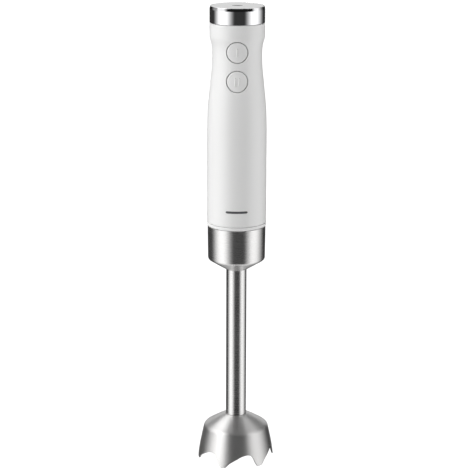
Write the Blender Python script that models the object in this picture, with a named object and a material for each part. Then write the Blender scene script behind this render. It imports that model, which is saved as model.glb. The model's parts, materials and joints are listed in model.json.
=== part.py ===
"""Immersion blender with a twist-off steel wand, as an assembly of separate pieces.

Sizes in this script are in millimetres and angles in degrees; meshes are made in metres.
+Z runs up the blender's axis, the front with the buttons faces -Y, and the origin lies on the axis,
level with the tips of the bell guard's teeth. Outlines of turned pieces are (radius, height) points.
"""
import math

import bmesh
import bpy
from mathutils import Matrix, Vector

MM = 0.001
GAP = 0.3
SHARP_ANGLE = math.radians(35)

# Facets around the axis
LARGE = 28
BUTTON_FACETS = 20
MEDIUM = 16
SMALL = 10
HOLE_PHASE = 7.0

# Overall heights
TOP = 410.0
HOUSING_BOTTOM = 220.9
TRIM_BOTTOM = 217.7
CUP_TOP = TRIM_BOTTOM - GAP
CONE_BOTTOM = 177.0
BELL_NECK = 41.2

# Handle: (height, outer radius) points that a smooth curve joins
HANDLE_CURVE = [
    (220.9, 25.87), (298.0, 25.87), (318.0, 25.4), (346.0, 22.9), (359.7, 21.6),
    (370.0, 21.4), (377.0, 22.05), (383.2, 23.65), (385.0, 23.75), (395.5, 23.75),
]
HOUSING_WALL = 2.2
TRIM_RADIUS = 26.1
CAP_RADIUS = 23.75
CAP_FACE_RADIUS = 22.7

# Buttons
BUTTON_HEIGHTS = {"one": 372.6, "two": 347.9}
BUTTON_RADIUS = 8.7
BUTTON_HOLE_RADIUS = 9.35
BUTTON_FLANGE_RADIUS = 10.2
BUTTON_FLANGE_FRONT = -16.0
BUTTON_FLANGE_BACK = -14.8
MARK_HEIGHT = 7.0
MARK_WIDTH = 1.5
MARK_RISE = 0.45
BOARD_FRONT = -5.0
BOARD_THICKNESS = 1.6

# Cord outlet, at the back under the cap ring
GLAND_HEIGHT = 389.8
GLAND_BORE = 3.9
GLAND_NECK = 4.8
GLAND_FLANGE = 5.5

# Motor
SHAFT_RADIUS = 3.0
CORE_SHAFT_RADIUS = 4.0
STATOR_RADIUS = 21.6
STATOR_BORE = 12.2
POLE_SHOE_RADIUS = 13.6
BACK_IRON_RADIUS = 16.0
STATOR_BOTTOM = 254.0
STATOR_TOP = 284.0
ARMATURE_RADIUS = 11.8
ARMATURE_SLOTS = 8
BOLT_CIRCLE = 18.4
LEG_CIRCLE = 17.8
LEG_RADIUS = 2.8
BOLT_RADIUS = 1.5
BRUSH_HEIGHT = 296.0
COMMUTATOR_RADIUS = 8.4
FAN_RADIUS = 14.5
FAN_BLADES = 9

# Twist lock between the handle's nose and the cup
NOSE_RADIUS = 19.4
NOSE_BOTTOM = 199.0
INSERT_BORE = 20.1
LUG_ANGLES = (33, 153, 273)
LUG_HALF_ANGLE = 11.5
LUG_BOTTOM = 205.0
LUG_TOP = 208.4
LUG_INNER = 17.8
TWIST = 25.0
COUPLING_RADIUS = 8.4
DOG_COUNT = 3
DOG_HALF_ANGLE = 14.0
NOSE_SCREW_CIRCLE = 12.0

# Wand and bell guard
CUP_RADIUS = 25.5
CUP_WALL = 1.2
TUBE_RADIUS = 9.0
TUBE_WALL = 0.8
CONE_SLOPE = 0.621
BELL_RADIUS = 34.2
BELL_SHOULDER = (29.0, 29.0)
BELL_WALL = 1.2
SKIRT_POWER = 1.3
TEETH = 6
FIRST_TOOTH = -21.07
# One pitch of the bell's rim: (degrees past a tooth's middle, height)
RIM = [
    (0.0, 0.0), (3.0, 0.0), (12.0, 4.4), (22.0, 7.9), (32.0, 10.7), (40.0, 11.5),
    (45.0, 10.9), (48.5, 8.7), (52.5, 3.4), (57.0, 0.0),
]

# Pieces' finishes: base colour, metallic, roughness
FINISHES = {
    "white_plastic": ((0.86, 0.86, 0.85), 0.0, 0.35),
    "black_plastic": ((0.03, 0.03, 0.03), 0.0, 0.5),
    "grey_plastic": ((0.35, 0.36, 0.37), 0.0, 0.5),
    "chrome": ((0.75, 0.75, 0.76), 1.0, 0.06),
    "satin_metal": ((0.62, 0.62, 0.62), 1.0, 0.4),
    "brushed_steel": ((0.6, 0.59, 0.58), 1.0, 0.28),
    "machined_steel": ((0.5, 0.5, 0.5), 1.0, 0.35),
    "laminations": ((0.22, 0.22, 0.23), 1.0, 0.5),
    "copper": ((0.72, 0.34, 0.18), 1.0, 0.35),
    "bronze": ((0.6, 0.42, 0.2), 1.0, 0.4),
    "carbon": ((0.04, 0.04, 0.045), 0.0, 0.6),
    "rubber": ((0.02, 0.02, 0.02), 0.0, 0.7),
    "aluminium": ((0.7, 0.7, 0.72), 1.0, 0.4),
    "board_green": ((0.03, 0.2, 0.09), 0.0, 0.4),
    "component_blue": ((0.05, 0.12, 0.35), 0.0, 0.4),
    "wire_red": ((0.5, 0.03, 0.03), 0.0, 0.5),
}


# ---------------------------------------------------------------- scene and object helpers

def clear_scene():
    for obj in list(bpy.data.objects):
        bpy.data.objects.remove(obj)


def finish_material(finish):
    material = bpy.data.materials.get(finish)
    if material:
        return material
    colour, metallic, roughness = FINISHES[finish]
    material = bpy.data.materials.new(finish)
    material.use_nodes = True
    shader = material.node_tree.nodes["Principled BSDF"]
    shader.inputs["Base Color"].default_value = (*colour, 1.0)
    shader.inputs["Metallic"].default_value = metallic
    shader.inputs["Roughness"].default_value = roughness
    return material


def add_piece(name, mesh, finish):
    """Close the bmesh into an object in metres, with its faces pointing out."""
    bmesh.ops.recalc_face_normals(mesh, faces=mesh.faces)
    bmesh.ops.scale(mesh, vec=(MM, MM, MM), verts=mesh.verts)
    data = bpy.data.meshes.new(name)
    mesh.to_mesh(data)
    mesh.free()
    data.shade_smooth()
    data.set_sharp_from_angle(angle=SHARP_ANGLE)
    data.materials.append(finish_material(finish))
    obj = bpy.data.objects.new(name, data)
    bpy.context.scene.collection.objects.link(obj)
    return obj


def add_axis(name, x=0.0, y=0.0, z=0.0):
    """An empty on a joint's axis, which the pieces of that moving group hang from."""
    empty = bpy.data.objects.new(name, None)
    empty.empty_display_size = 0.02
    empty.location = (x * MM, y * MM, z * MM)
    bpy.context.scene.collection.objects.link(empty)
    return empty


def hang(parent, *pieces):
    for piece in pieces:
        piece.parent = parent
        piece.location = piece.location - parent.location


def boolean(target, cutters, operation):
    for cutter in cutters:
        modifier = target.modifiers.new(operation.lower(), "BOOLEAN")
        modifier.operation = operation
        modifier.solver = "EXACT"
        modifier.object = cutter
        cutter.hide_render = True
        cutter.display_type = "WIRE"


def cut(target, *cutters):
    boolean(target, cutters, "DIFFERENCE")


def unite(target, *additions):
    boolean(target, additions, "UNION")


# ---------------------------------------------------------------- shape helpers

def bridge_rings(mesh, rings, closed):
    """Join rings of vertices in order; a ring of one vertex is a pole."""
    pairs = list(zip(rings, rings[1:]))
    if closed:
        pairs.append((rings[-1], rings[0]))
    for lower, upper in pairs:
        count = max(len(lower), len(upper))
        for i in range(count):
            j = (i + 1) % count
            corners = [
                lower[i % len(lower)], lower[j % len(lower)], upper[j % len(upper)], upper[i % len(upper)],
            ]
            unique = list(dict.fromkeys(corners))
            if len(unique) > 2:
                mesh.faces.new(unique)


def turned(name, outline, finish, facets=LARGE, axis="Z", centre=(0, 0, 0), warp=None, phase=0.0):
    """Turn an outline about an axis. Points at radius 0 close the ends; otherwise it is a ring."""
    mesh = bmesh.new()
    rings = []
    for radius, height in outline:
        if radius == 0:
            rings.append([mesh.verts.new((0, 0, height))])
            continue
        ring = []
        for i in range(facets):
            angle = 2 * math.pi * i / facets + math.radians(phase)
            ring.append(mesh.verts.new((radius * math.cos(angle), radius * math.sin(angle), height)))
        rings.append(ring)
    bridge_rings(mesh, rings, closed=outline[0][0] != 0)
    if axis == "Y":
        bmesh.ops.rotate(mesh, matrix=Matrix.Rotation(-math.pi / 2, 3, "X"), verts=mesh.verts)
    bmesh.ops.translate(mesh, vec=centre, verts=mesh.verts)
    if warp:
        for vert in mesh.verts:
            vert.co = warp(vert.co)
    return add_piece(name, mesh, finish)


def drill(name, radius, start, end, facets=SMALL, axis="Z", centre=(0, 0, 0)):
    """A round cutter, turned a little so that its corners miss its neighbours' edges."""
    outline = rod_outline(radius, start, end)
    return turned(name, outline, "grey_plastic", facets, axis, centre, phase=HOLE_PHASE)


def tube_outline(inner, outer, bottom, top):
    return [(inner, bottom), (outer, bottom), (outer, top), (inner, top)]


def rod_outline(radius, bottom, top):
    return [(0, bottom), (radius, bottom), (radius, top), (0, top)]


def fillet_arc(before, corner, after, radius, steps):
    """Points of an arc of this radius that rounds off a corner of an outline."""
    before, corner, after = Vector(before), Vector(corner), Vector(after)
    to_before = (before - corner).normalized()
    to_after = (after - corner).normalized()
    half = to_before.angle(to_after) / 2
    centre = corner + (to_before + to_after).normalized() * radius / math.sin(half)
    start = corner + to_before * radius / math.tan(half) - centre
    end = corner + to_after * radius / math.tan(half) - centre
    arc = []
    for i in range(steps + 1):
        direction = start.lerp(end, i / steps).normalized()
        arc.append(tuple(centre + direction * radius))
    return arc


def extruded(name, outline, bottom, top, finish, hole_radius=None):
    """Extrude an (x, y) outline along Z, with a round hole whose points match the outline's angles."""
    mesh = bmesh.new()
    rings = []
    heights = (bottom, top) if hole_radius is None else (bottom, top, top, bottom)
    for level, height in enumerate(heights):
        ring = []
        for x, y in outline:
            if level > 1:
                scale = hole_radius / math.hypot(x, y)
                x, y = x * scale, y * scale
            ring.append(mesh.verts.new((x, y, height)))
        rings.append(ring)
    bridge_rings(mesh, rings, closed=hole_radius is not None)
    if hole_radius is None:
        mesh.faces.new(rings[0])
        mesh.faces.new(rings[1])
    return add_piece(name, mesh, finish)


def plate(name, loops, bottom, top, finish):
    """Extrude a flat shape along Z: its outer outline first, then the outlines of its holes."""
    mesh = bmesh.new()
    edges = []
    for loop in loops:
        verts = [mesh.verts.new((x, y, bottom)) for x, y in loop]
        for i, vert in enumerate(verts):
            edges.append(mesh.edges.new((vert, verts[(i + 1) % len(verts)])))
    filled = bmesh.ops.triangle_fill(mesh, edges=edges, use_beauty=True, normal=(0, 0, 1))
    faces = [item for item in filled["geom"] if isinstance(item, bmesh.types.BMFace)]
    lifted = bmesh.ops.extrude_face_region(mesh, geom=faces)
    top_verts = [item for item in lifted["geom"] if isinstance(item, bmesh.types.BMVert)]
    bmesh.ops.translate(mesh, vec=(0, 0, top - bottom), verts=top_verts)
    return add_piece(name, mesh, finish)


def sector(name, inner, outer, bottom, top, start, end, finish="grey_plastic", steps=4):
    """Part of a ring, between two angles."""
    mesh = bmesh.new()
    slices = []
    for i in range(steps + 1):
        angle = math.radians(start + (end - start) * i / steps)
        slices.append([
            mesh.verts.new((radius * math.cos(angle), radius * math.sin(angle), height))
            for radius, height in tube_outline(inner, outer, bottom, top)
        ])
    bridge_rings(mesh, slices, closed=False)
    mesh.faces.new(slices[0])
    mesh.faces.new(slices[-1])
    return add_piece(name, mesh, finish)


def box(name, low, high, finish="grey_plastic", turn=0.0):
    """A block between two corners, then turned about Z by an angle."""
    mesh = bmesh.new()
    bmesh.ops.create_cube(mesh, size=1)
    for vert in mesh.verts:
        vert.co = Vector([low[i] if vert.co[i] < 0 else high[i] for i in range(3)])
    bmesh.ops.rotate(mesh, matrix=Matrix.Rotation(math.radians(turn), 3, "Z"), verts=mesh.verts)
    return add_piece(name, mesh, finish)


def swept(name, points, radius, finish, sides=6):
    """A round wire along a list of points."""
    mesh = bmesh.new()
    path = [Vector(point) for point in points]
    rings = []
    side = (path[1] - path[0]).orthogonal().normalized()
    for i, point in enumerate(path):
        tangent = (path[min(i + 1, len(path) - 1)] - path[max(i - 1, 0)]).normalized()
        side = (side - tangent * side.dot(tangent)).normalized()
        other = tangent.cross(side)
        ring = []
        for k in range(sides):
            angle = 2 * math.pi * k / sides
            ring.append(mesh.verts.new(point + (side * math.cos(angle) + other * math.sin(angle)) * radius))
        rings.append(ring)
    bridge_rings(mesh, rings, closed=False)
    mesh.faces.new(rings[0])
    mesh.faces.new(rings[-1])
    return add_piece(name, mesh, finish)


def helix(radius, start, end, turns, steps_per_turn):
    """Points of a coil about the Z axis."""
    count = round(turns * steps_per_turn)
    points = []
    for i in range(count + 1):
        angle = 2 * math.pi * i / steps_per_turn
        height = start + (end - start) * i / count
        points.append((radius * math.cos(angle), radius * math.sin(angle), height))
    return points


def smooth_value(knots, at):
    """Read a smooth curve through (position, value) knots that never overshoots between them."""
    def slope(i):
        if i == 0 or i == len(knots) - 1:
            return 0.0
        before = (knots[i][1] - knots[i - 1][1]) / (knots[i][0] - knots[i - 1][0])
        after = (knots[i + 1][1] - knots[i][1]) / (knots[i + 1][0] - knots[i][0])
        if before * after <= 0:
            return 0.0
        return 2 * before * after / (before + after)

    if at <= knots[0][0]:
        return knots[0][1]
    for i in range(len(knots) - 1):
        (x0, y0), (x1, y1) = knots[i], knots[i + 1]
        if at <= x1:
            width = x1 - x0
            t = (at - x0) / width
            rise = y0 * (1 + 2 * t) * (1 - t) ** 2 + y1 * t * t * (3 - 2 * t)
            return rise + width * t * (1 - t) * (slope(i) * (1 - t) - slope(i + 1) * t)
    return knots[-1][1]


def handle_radius(height):
    return smooth_value(HANDLE_CURVE, height)


def handle_front(x, height):
    """Y of the handle's front surface at this place."""
    return -math.sqrt(handle_radius(height) ** 2 - x * x)


# ---------------------------------------------------------------- handle

def make_housing():
    """One-piece sleeve with button holes, vents at the back and a hole for the cord gland."""
    outer_levels = (220.9, 300.0, 318.0, 332.0, 346.0, 358.0, 372.0, 378.0, 384.0, 395.5)
    inner_levels = (395.5, 384.0, 375.0, 365.0, 318.0, 220.9)
    outline = [(handle_radius(z), z) for z in outer_levels]
    outline += [(handle_radius(z) - HOUSING_WALL, z) for z in inner_levels]
    housing = turned("housing_shell", outline, "white_plastic")
    for label, height in BUTTON_HEIGHTS.items():
        hole = turned("cut_button_" + label, rod_outline(BUTTON_HOLE_RADIUS, -30, -10), "grey_plastic",
                      BUTTON_FACETS, "Y", (0, 0, height))
        cut(housing, hole)
    cut(housing, drill("cut_gland", GLAND_NECK + GAP, 15, 30, SMALL, "Y", (0, 0, GLAND_HEIGHT)))
    for group, first in (("outlet", 238.0), ("inlet", 338.0)):
        for row in range(5):
            low = first + 4.0 * row
            vent = box("cut_vent_" + group + str(row), (-8, 15, low), (8, 30, low + 1.6))
            cut(housing, vent)
    return housing


def make_trim():
    return turned("lower_trim_ring", tube_outline(19.8, TRIM_RADIUS, TRIM_BOTTOM, 220.6), "white_plastic")


def make_cap():
    """Polished ring with a steep bevel under its top edge, and the satin disc let into it."""
    ledge = TOP - 2.0
    spigot = 391.0
    outline = [
        (21.2, 395.9), (CAP_RADIUS, 395.9), (CAP_RADIUS, 407.4), (CAP_RADIUS - 0.45, 409.6),
        (CAP_FACE_RADIUS + 0.25, TOP), (CAP_FACE_RADIUS, TOP), (CAP_FACE_RADIUS, ledge), (18.8, ledge),
        (18.8, spigot), (21.2, spigot),
    ]
    ring = turned("cap_ring", outline, "chrome")
    notch = box("cut_cap_notch", (-7, 15, 380), (7, 30, 395.6))
    cut(ring, notch)
    disc = turned("cap_disc", rod_outline(CAP_FACE_RADIUS - GAP, ledge + GAP, TOP), "satin_metal")
    return ring, disc


def make_gland():
    """Moulded bush that the mains cord comes out of."""
    outline = [
        (GLAND_BORE, 18.2), (GLAND_FLANGE, 18.2), (GLAND_FLANGE, 19.8), (GLAND_NECK, 19.8),
        (GLAND_NECK, 24.1), (5.5, 24.1), (5.2, 26.0), (GLAND_BORE, 26.0),
    ]
    return turned("cord_gland", outline, "black_plastic", SMALL, "Y", (0, 0, GLAND_HEIGHT), phase=HOLE_PHASE)


def make_nose():
    """Stub that the cup is pushed over, with a seal groove and three L-shaped lug slots."""
    web_bottom = 221.2
    flange_top = 224.3
    outline = [
        (15.8, NOSE_BOTTOM), (NOSE_RADIUS, NOSE_BOTTOM), (NOSE_RADIUS, 210.8), (18.2, 210.8), (18.2, 213.2),
        (NOSE_RADIUS, 213.2), (NOSE_RADIUS, HOUSING_BOTTOM), (23.3, HOUSING_BOTTOM), (23.3, flange_top),
        (7.5, flange_top), (7.5, web_bottom), (15.8, web_bottom),
    ]
    nose = turned("bayonet_nose", outline, "black_plastic")
    clearance = 2.0
    for i, angle in enumerate(LUG_ANGLES):
        low = angle - LUG_HALF_ANGLE - clearance
        high = angle + LUG_HALF_ANGLE + clearance
        entry = sector("cut_entry_" + str(i), 17.3, 22, NOSE_BOTTOM - 1, LUG_BOTTOM + 1, low, high, steps=2)
        turn = sector("cut_turn_" + str(i), 17.4, 21, LUG_BOTTOM - 0.5, LUG_TOP + 0.5, low - 1, high + TWIST)
        cut(nose, entry, turn)
    for side in (-1, 1):
        cut(nose, drill("cut_nose_hole" + str(side), 1.8, 215, 230, centre=(side * NOSE_SCREW_CIRCLE, 0, 0)))
    return nose


def make_screw(name, x, y, head_bottom, head_top, tip):
    """Pan-head screw along Z; the tip may be above or below the head."""
    seat = head_top if tip > head_top else head_bottom
    far = head_bottom if tip > head_top else head_top
    outline = [(0, far), (2.5, far), (2.5, seat), (BOLT_RADIUS, seat), (BOLT_RADIUS, tip), (0, tip)]
    return turned(name, outline, "machined_steel", SMALL, centre=(x, y, 0))


def make_handle_parts():
    pieces = [make_housing(), make_trim(), make_gland(), make_nose()]
    pieces += make_cap()
    for label, side in (("left", -1), ("right", 1)):
        pieces.append(make_screw("nose_screw_" + label, side * NOSE_SCREW_CIRCLE, 0, 218.9, 220.9, 233.0))
    return pieces


# ---------------------------------------------------------------- motor, fixed pieces

def arc(radius, start, end, steps, x=0.0, y=0.0):
    """Points of an arc, both ends included, counted in degrees."""
    angles = [math.radians(start + (end - start) * i / steps) for i in range(steps + 1)]
    return [(x + radius * math.cos(angle), y + radius * math.sin(angle)) for angle in angles]


def circle(radius, points, x=0.0, y=0.0):
    return arc(radius, 0, 360, points, x, y)[:-1]


def stator_bore():
    """Inner outline of the core: two poles with shoes on the X axis, and slots for their coils."""
    shoe = 62
    neck = 24
    outline = []
    for pole in (0, 180):
        outline += arc(STATOR_BORE, pole - shoe, pole + shoe, 8)
        outline += arc(POLE_SHOE_RADIUS, pole + shoe, pole + neck, 3)
        outline += arc(BACK_IRON_RADIUS, pole + neck, pole + 180 - neck, 9)
        outline += arc(POLE_SHOE_RADIUS, pole + 180 - neck, pole + 180 - shoe, 3)
    return outline


def make_stator():
    """Laminated core with through holes for the motor bolts on the Y axis."""
    loops = [circle(STATOR_RADIUS, LARGE), stator_bore()]
    for side in (-1, 1):
        loops.append(circle(BOLT_RADIUS + GAP, SMALL, y=side * BOLT_CIRCLE))
    return plate("stator_core", loops, STATOR_BOTTOM, STATOR_TOP, "laminations")


def cut_bolt_holes(target, label, bottom, top):
    for side in (-1, 1):
        place = (0, side * BOLT_CIRCLE, 0)
        cut(target, drill("cut_" + label + "_bolt" + str(side), BOLT_RADIUS + GAP, bottom, top, centre=place))


def make_field_coil(label, middle):
    """Saddle-shaped winding around one pole."""
    overhang = 5.0
    half_span = 57.0
    half_window = 26.5
    slack = 0.6
    coil = sector("field_coil_" + label, POLE_SHOE_RADIUS + GAP, BACK_IRON_RADIUS - GAP,
                  STATOR_BOTTOM - overhang, STATOR_TOP + overhang,
                  middle - half_span, middle + half_span, "copper", steps=8)
    window = sector("cut_coil_" + label, 13, 18, STATOR_BOTTOM - slack, STATOR_TOP + slack,
                    middle - half_window, middle + half_window)
    cut(coil, window)
    return coil


def make_lower_bracket():
    """Drive-end plate with the bearing seat, two legs to the stator and screw holes for the nose."""
    outline = [(7.3, 227.4), (20.9, 227.4), (20.9, 233.0), (9.6, 233.0), (9.6, 236.0), (7.3, 236.0)]
    bracket = turned("lower_bracket", outline, "aluminium")
    for side in (-1, 1):
        foot = (0, side * LEG_CIRCLE, 0)
        leg = drill("add_lower_leg" + str(side), LEG_RADIUS, 230, STATOR_BOTTOM - GAP, centre=foot)
        unite(bracket, leg)
        place = (side * NOSE_SCREW_CIRCLE, 0, 0)
        cut(bracket, drill("cut_lower_screw" + str(side), BOLT_RADIUS + GAP, 220, 240, centre=place))
    cut_bolt_holes(bracket, "lower", 220, 260)
    return bracket


def make_upper_bracket():
    """Brush-end bridge: rim, cross arm, bearing seat and two legs to the stator."""
    bracket = turned("upper_bracket", tube_outline(17.6, 20.6, 303.3, 308.3), "aluminium")
    arm = box("add_upper_arm", (-6, -19, 304.3), (6, 19, 307.4), "aluminium")
    boss = drill("add_upper_boss", 9.4, 303.0, 309.6, MEDIUM)
    unite(bracket, arm, boss)
    for side in (-1, 1):
        foot = (0, side * LEG_CIRCLE, 0)
        leg = drill("add_upper_leg" + str(side), LEG_RADIUS, STATOR_TOP + GAP, 306, centre=foot)
        unite(bracket, leg)
    cut(bracket, drill("cut_upper_seat", 7.3, 300, 312, MEDIUM))
    cut_bolt_holes(bracket, "upper", 280, 312)
    return bracket


def make_brush_set(label, side):
    """Brass holder, open towards the commutator, with its carbon brush and spring."""
    def across(x0, x1):
        return (x0, x1) if side > 0 else (-x1, -x0)

    def block(name, reach, half, finish):
        low, high = across(*reach)
        return box(name, (low, -half, BRUSH_HEIGHT - half), (high, half, BRUSH_HEIGHT + half), finish)

    holder = block("brush_holder_" + label, (9.8, 19.6), 4.0, "bronze")
    bore = block("cut_holder_" + label, (8.0, 18.8), 3.2, "grey_plastic")
    cut(holder, bore)
    brush = block("carbon_brush_" + label, (COMMUTATOR_RADIUS + GAP, 14.6), 2.9, "carbon")
    coil = [(side * height, x, BRUSH_HEIGHT + y) for x, y, height in helix(2.1, 15.2, 18.2, 3, 6)]
    spring = swept("brush_spring_" + label, coil, 0.25, "machined_steel", sides=4)
    return holder, brush, spring


def make_motor_lead(label, side):
    """Insulated wire from the board's lower edge to a brush holder."""
    knots = [(334.0 - 0.5, 5.0, -4.2), (324.0, 7.0, -2.0), (312.0, 11.5, 1.5), (300.9, 14.0, 0.0)]
    points = []
    steps = 7
    for i in range(steps + 1):
        height = knots[0][0] + (knots[-1][0] - knots[0][0]) * i / steps
        x = smooth_value([(-z, x) for z, x, y in knots], -height)
        y = smooth_value([(-z, y) for z, x, y in knots], -height)
        points.append((side * x, y, height))
    return swept("motor_lead_" + label, points, 0.8, "wire_red")


def make_motor_fixed_parts():
    pieces = [make_stator(), make_lower_bracket(), make_upper_bracket()]
    pieces.append(turned("lower_damper", tube_outline(21.2, 23.3, 227.6, 232.8), "rubber"))
    pieces.append(turned("upper_damper", tube_outline(20.9, 23.1, 303.5, 308.1), "rubber"))
    for label, low, high in (("lower", 229.0, 235.0), ("upper", 303.8, 308.8)):
        bearing = tube_outline(SHAFT_RADIUS + GAP, 7.0, low, high)
        pieces.append(turned(label + "_bearing", bearing, "machined_steel", MEDIUM))
    for label, side in (("front", -1), ("rear", 1)):
        pieces.append(make_screw("motor_bolt_" + label, 0, side * BOLT_CIRCLE, 308.6, 310.6, 228.0))
    for label, side in (("left", -1), ("right", 1)):
        pieces.append(make_field_coil(label, 90 + 90 * -side))
        pieces += make_brush_set(label, side)
        pieces.append(make_motor_lead(label, side))
    return pieces


# ---------------------------------------------------------------- electronics

def make_carrier():
    """Ring above the motor with two grooved rails that hold the circuit board by its edges."""
    carrier = turned("electronics_carrier", tube_outline(13.5, 22.6, 313.4, 316.0), "black_plastic")
    for label, side in (("left", -1), ("right", 1)):
        xs = sorted((side * 14.2, side * 17.4))
        rail = box("add_rail_" + label, (xs[0], -7.2, 314.5), (xs[1], -1.2, 387.0), "black_plastic")
        xs = sorted((side * 13.0, side * 15.6))
        groove = box("cut_groove_" + label, (xs[0], -5.3, 333.7), (xs[1], -3.1, 390.0))
        unite(carrier, rail)
        cut(carrier, groove)
    bridge = box("add_rail_bridge", (-15.5, -7.2, 320.0), (15.5, -5.4, 328.0), "black_plastic")
    unite(carrier, bridge)
    return carrier


def make_switch(label, height):
    """Tactile switch: its housing, with a bore that the plunger slides in."""
    back = BOARD_FRONT - GAP
    half = 3.1
    low = (-half, back - 4.3, height - half)
    high = (half, back, height + half)
    body = box("switch_" + label, low, high, "black_plastic")
    cut(body, drill("cut_switch_" + label, 2.0, back - 5, back - 0.8, SMALL, "Y", (0, 0, height)))
    return body


def make_button_spring(label, height):
    """Return spring between the button's flange and the board, around the switch."""
    coil = [(x, z, height + y) for x, y, z in helix(5.3, BUTTON_FLANGE_BACK + 0.7, BOARD_FRONT - 0.7, 4, 8)]
    return swept("button_spring_" + label, coil, 0.3, "machined_steel", sides=4)


def make_heat_sink():
    """Finned aluminium block behind the triac."""
    fins = 4
    pitch = 6.0
    outline = [(-10.5, 2.0)]
    outline.append((10.5, 2.0))
    for i in range(fins):
        right = 10.5 - pitch * i
        outline += [(right, 9.0), (right - 3.0, 9.0)]
        if i < fins - 1:
            outline += [(right - 3.0, 4.2), (right - pitch, 4.2)]
    return extruded("heat_sink", outline, 360.0, 380.0, "aluminium")


def make_electronics():
    back = BOARD_FRONT + BOARD_THICKNESS + GAP
    pieces = [make_carrier(), make_heat_sink()]
    board = box("circuit_board", (-15.2, BOARD_FRONT, 334.0), (15.2, BOARD_FRONT + BOARD_THICKNESS, 386.0),
                "board_green")
    capacitor = box("suppression_capacitor", (-9, back, 336.0), (9, back + 8.5, 350.0), "component_blue")
    triac = box("triac", (-5, back, 362.0), (5, back + 4.6, 377.0), "black_plastic")
    pieces += [board, capacitor, triac]
    for label, height in BUTTON_HEIGHTS.items():
        pieces += [make_switch(label, height), make_button_spring(label, height)]
    return pieces


# ---------------------------------------------------------------- buttons

def make_mark(name, x, height):
    """Raised bar on a button, following the handle's curve."""
    mesh = bmesh.new()
    bmesh.ops.create_cube(mesh, size=1)
    for vert in mesh.verts:
        px = x + vert.co.x * MARK_WIDTH
        pz = height + vert.co.z * MARK_HEIGHT
        rise = -MARK_RISE if vert.co.y < 0 else 1.2
        vert.co = Vector((px, handle_front(px, pz) + rise, pz))
    return add_piece(name, mesh, "white_plastic")


def make_button(label, height):
    """Round cap that follows the handle's surface, with a retaining flange and a stem."""
    front = -30.0

    def follow_handle(point):
        if point.y > -20:
            return point
        return Vector((point.x, handle_front(point.x, point.z), point.z))

    outline = [
        (0, front), (4.4, front), (BUTTON_RADIUS, front), (BUTTON_RADIUS, BUTTON_FLANGE_FRONT),
        (BUTTON_FLANGE_RADIUS, BUTTON_FLANGE_FRONT), (BUTTON_FLANGE_RADIUS, BUTTON_FLANGE_BACK),
        (2.3, BUTTON_FLANGE_BACK), (2.3, -12.1), (0, -12.1),
    ]
    middle = (0, 0, height)
    button = turned("button_" + label, outline, "white_plastic", BUTTON_FACETS, "Y", middle, follow_handle)
    places = (0.0,) if label == "one" else (-1.7, 1.7)
    for i, x in enumerate(places):
        unite(button, make_mark("add_mark_" + label + str(i), x, height))
    plunger = drill("plunger_" + label, 1.7, -11.8, -8.0, SMALL, "Y", (0, 0, height))
    return button, plunger


# ---------------------------------------------------------------- armature

def make_armature_core():
    """Slotted rotor stack on the shaft."""
    outline = []
    for i in range(ARMATURE_SLOTS):
        middle = 360 / ARMATURE_SLOTS * i
        for offset, radius in ((-13, 7.2), (-12, ARMATURE_RADIUS), (12, ARMATURE_RADIUS), (13, 7.2)):
            angle = math.radians(middle + offset)
            outline.append((radius * math.cos(angle), radius * math.sin(angle)))
    bore = CORE_SHAFT_RADIUS + GAP
    return extruded("armature_core", outline, STATOR_BOTTOM, STATOR_TOP, "laminations", bore)


def make_armature_winding():
    """Copper bars in the slots, joined by a winding head at each end."""
    head = 4.4
    inner = CORE_SHAFT_RADIUS + GAP
    outer = 10.8
    upper_head = tube_outline(inner, outer, STATOR_TOP + GAP, STATOR_TOP + head)
    lower_head = tube_outline(inner, outer, STATOR_BOTTOM - head, STATOR_BOTTOM - GAP)
    winding = turned("armature_winding", upper_head, "copper", MEDIUM)
    unite(winding, turned("add_winding_head", lower_head, "copper", MEDIUM))
    for i in range(ARMATURE_SLOTS):
        turn = 360 / ARMATURE_SLOTS * (i + 0.5)
        low = (7.8, -1.1, STATOR_BOTTOM - 2)
        high = (10.6, 1.1, STATOR_TOP + 2)
        unite(winding, box("add_winding_bar" + str(i), low, high, "copper", turn))
    return winding


def make_fan():
    """Radial fan: a disc with straight blades on top."""
    bore = SHAFT_RADIUS + GAP
    hub = 6.0
    outline = [
        (bore, 238.6), (FAN_RADIUS, 238.6), (FAN_RADIUS, 239.8), (hub, 239.8), (hub, 246.5), (bore, 246.5),
    ]
    fan = turned("cooling_fan", outline, "black_plastic", MEDIUM)
    for i in range(FAN_BLADES):
        turn = 360 / FAN_BLADES * i
        vane = box("add_fan_blade" + str(i), (5.0, -0.6, 239.2), (14.2, 0.6, 246.0), "black_plastic", turn)
        unite(fan, vane)
    return fan


def make_coupling(name, hub_outline, dog_bottom, dog_top, first_angle, finish):
    """Hub with driving dogs on its face."""
    coupling = turned(name, hub_outline, finish, MEDIUM)
    for i in range(DOG_COUNT):
        middle = first_angle + 360 / DOG_COUNT * i
        dog = sector("add_" + name + str(i), 4.6, 8.1, dog_bottom, dog_top, middle - DOG_HALF_ANGLE,
                     middle + DOG_HALF_ANGLE, finish, steps=2)
        unite(coupling, dog)
    return coupling


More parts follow.
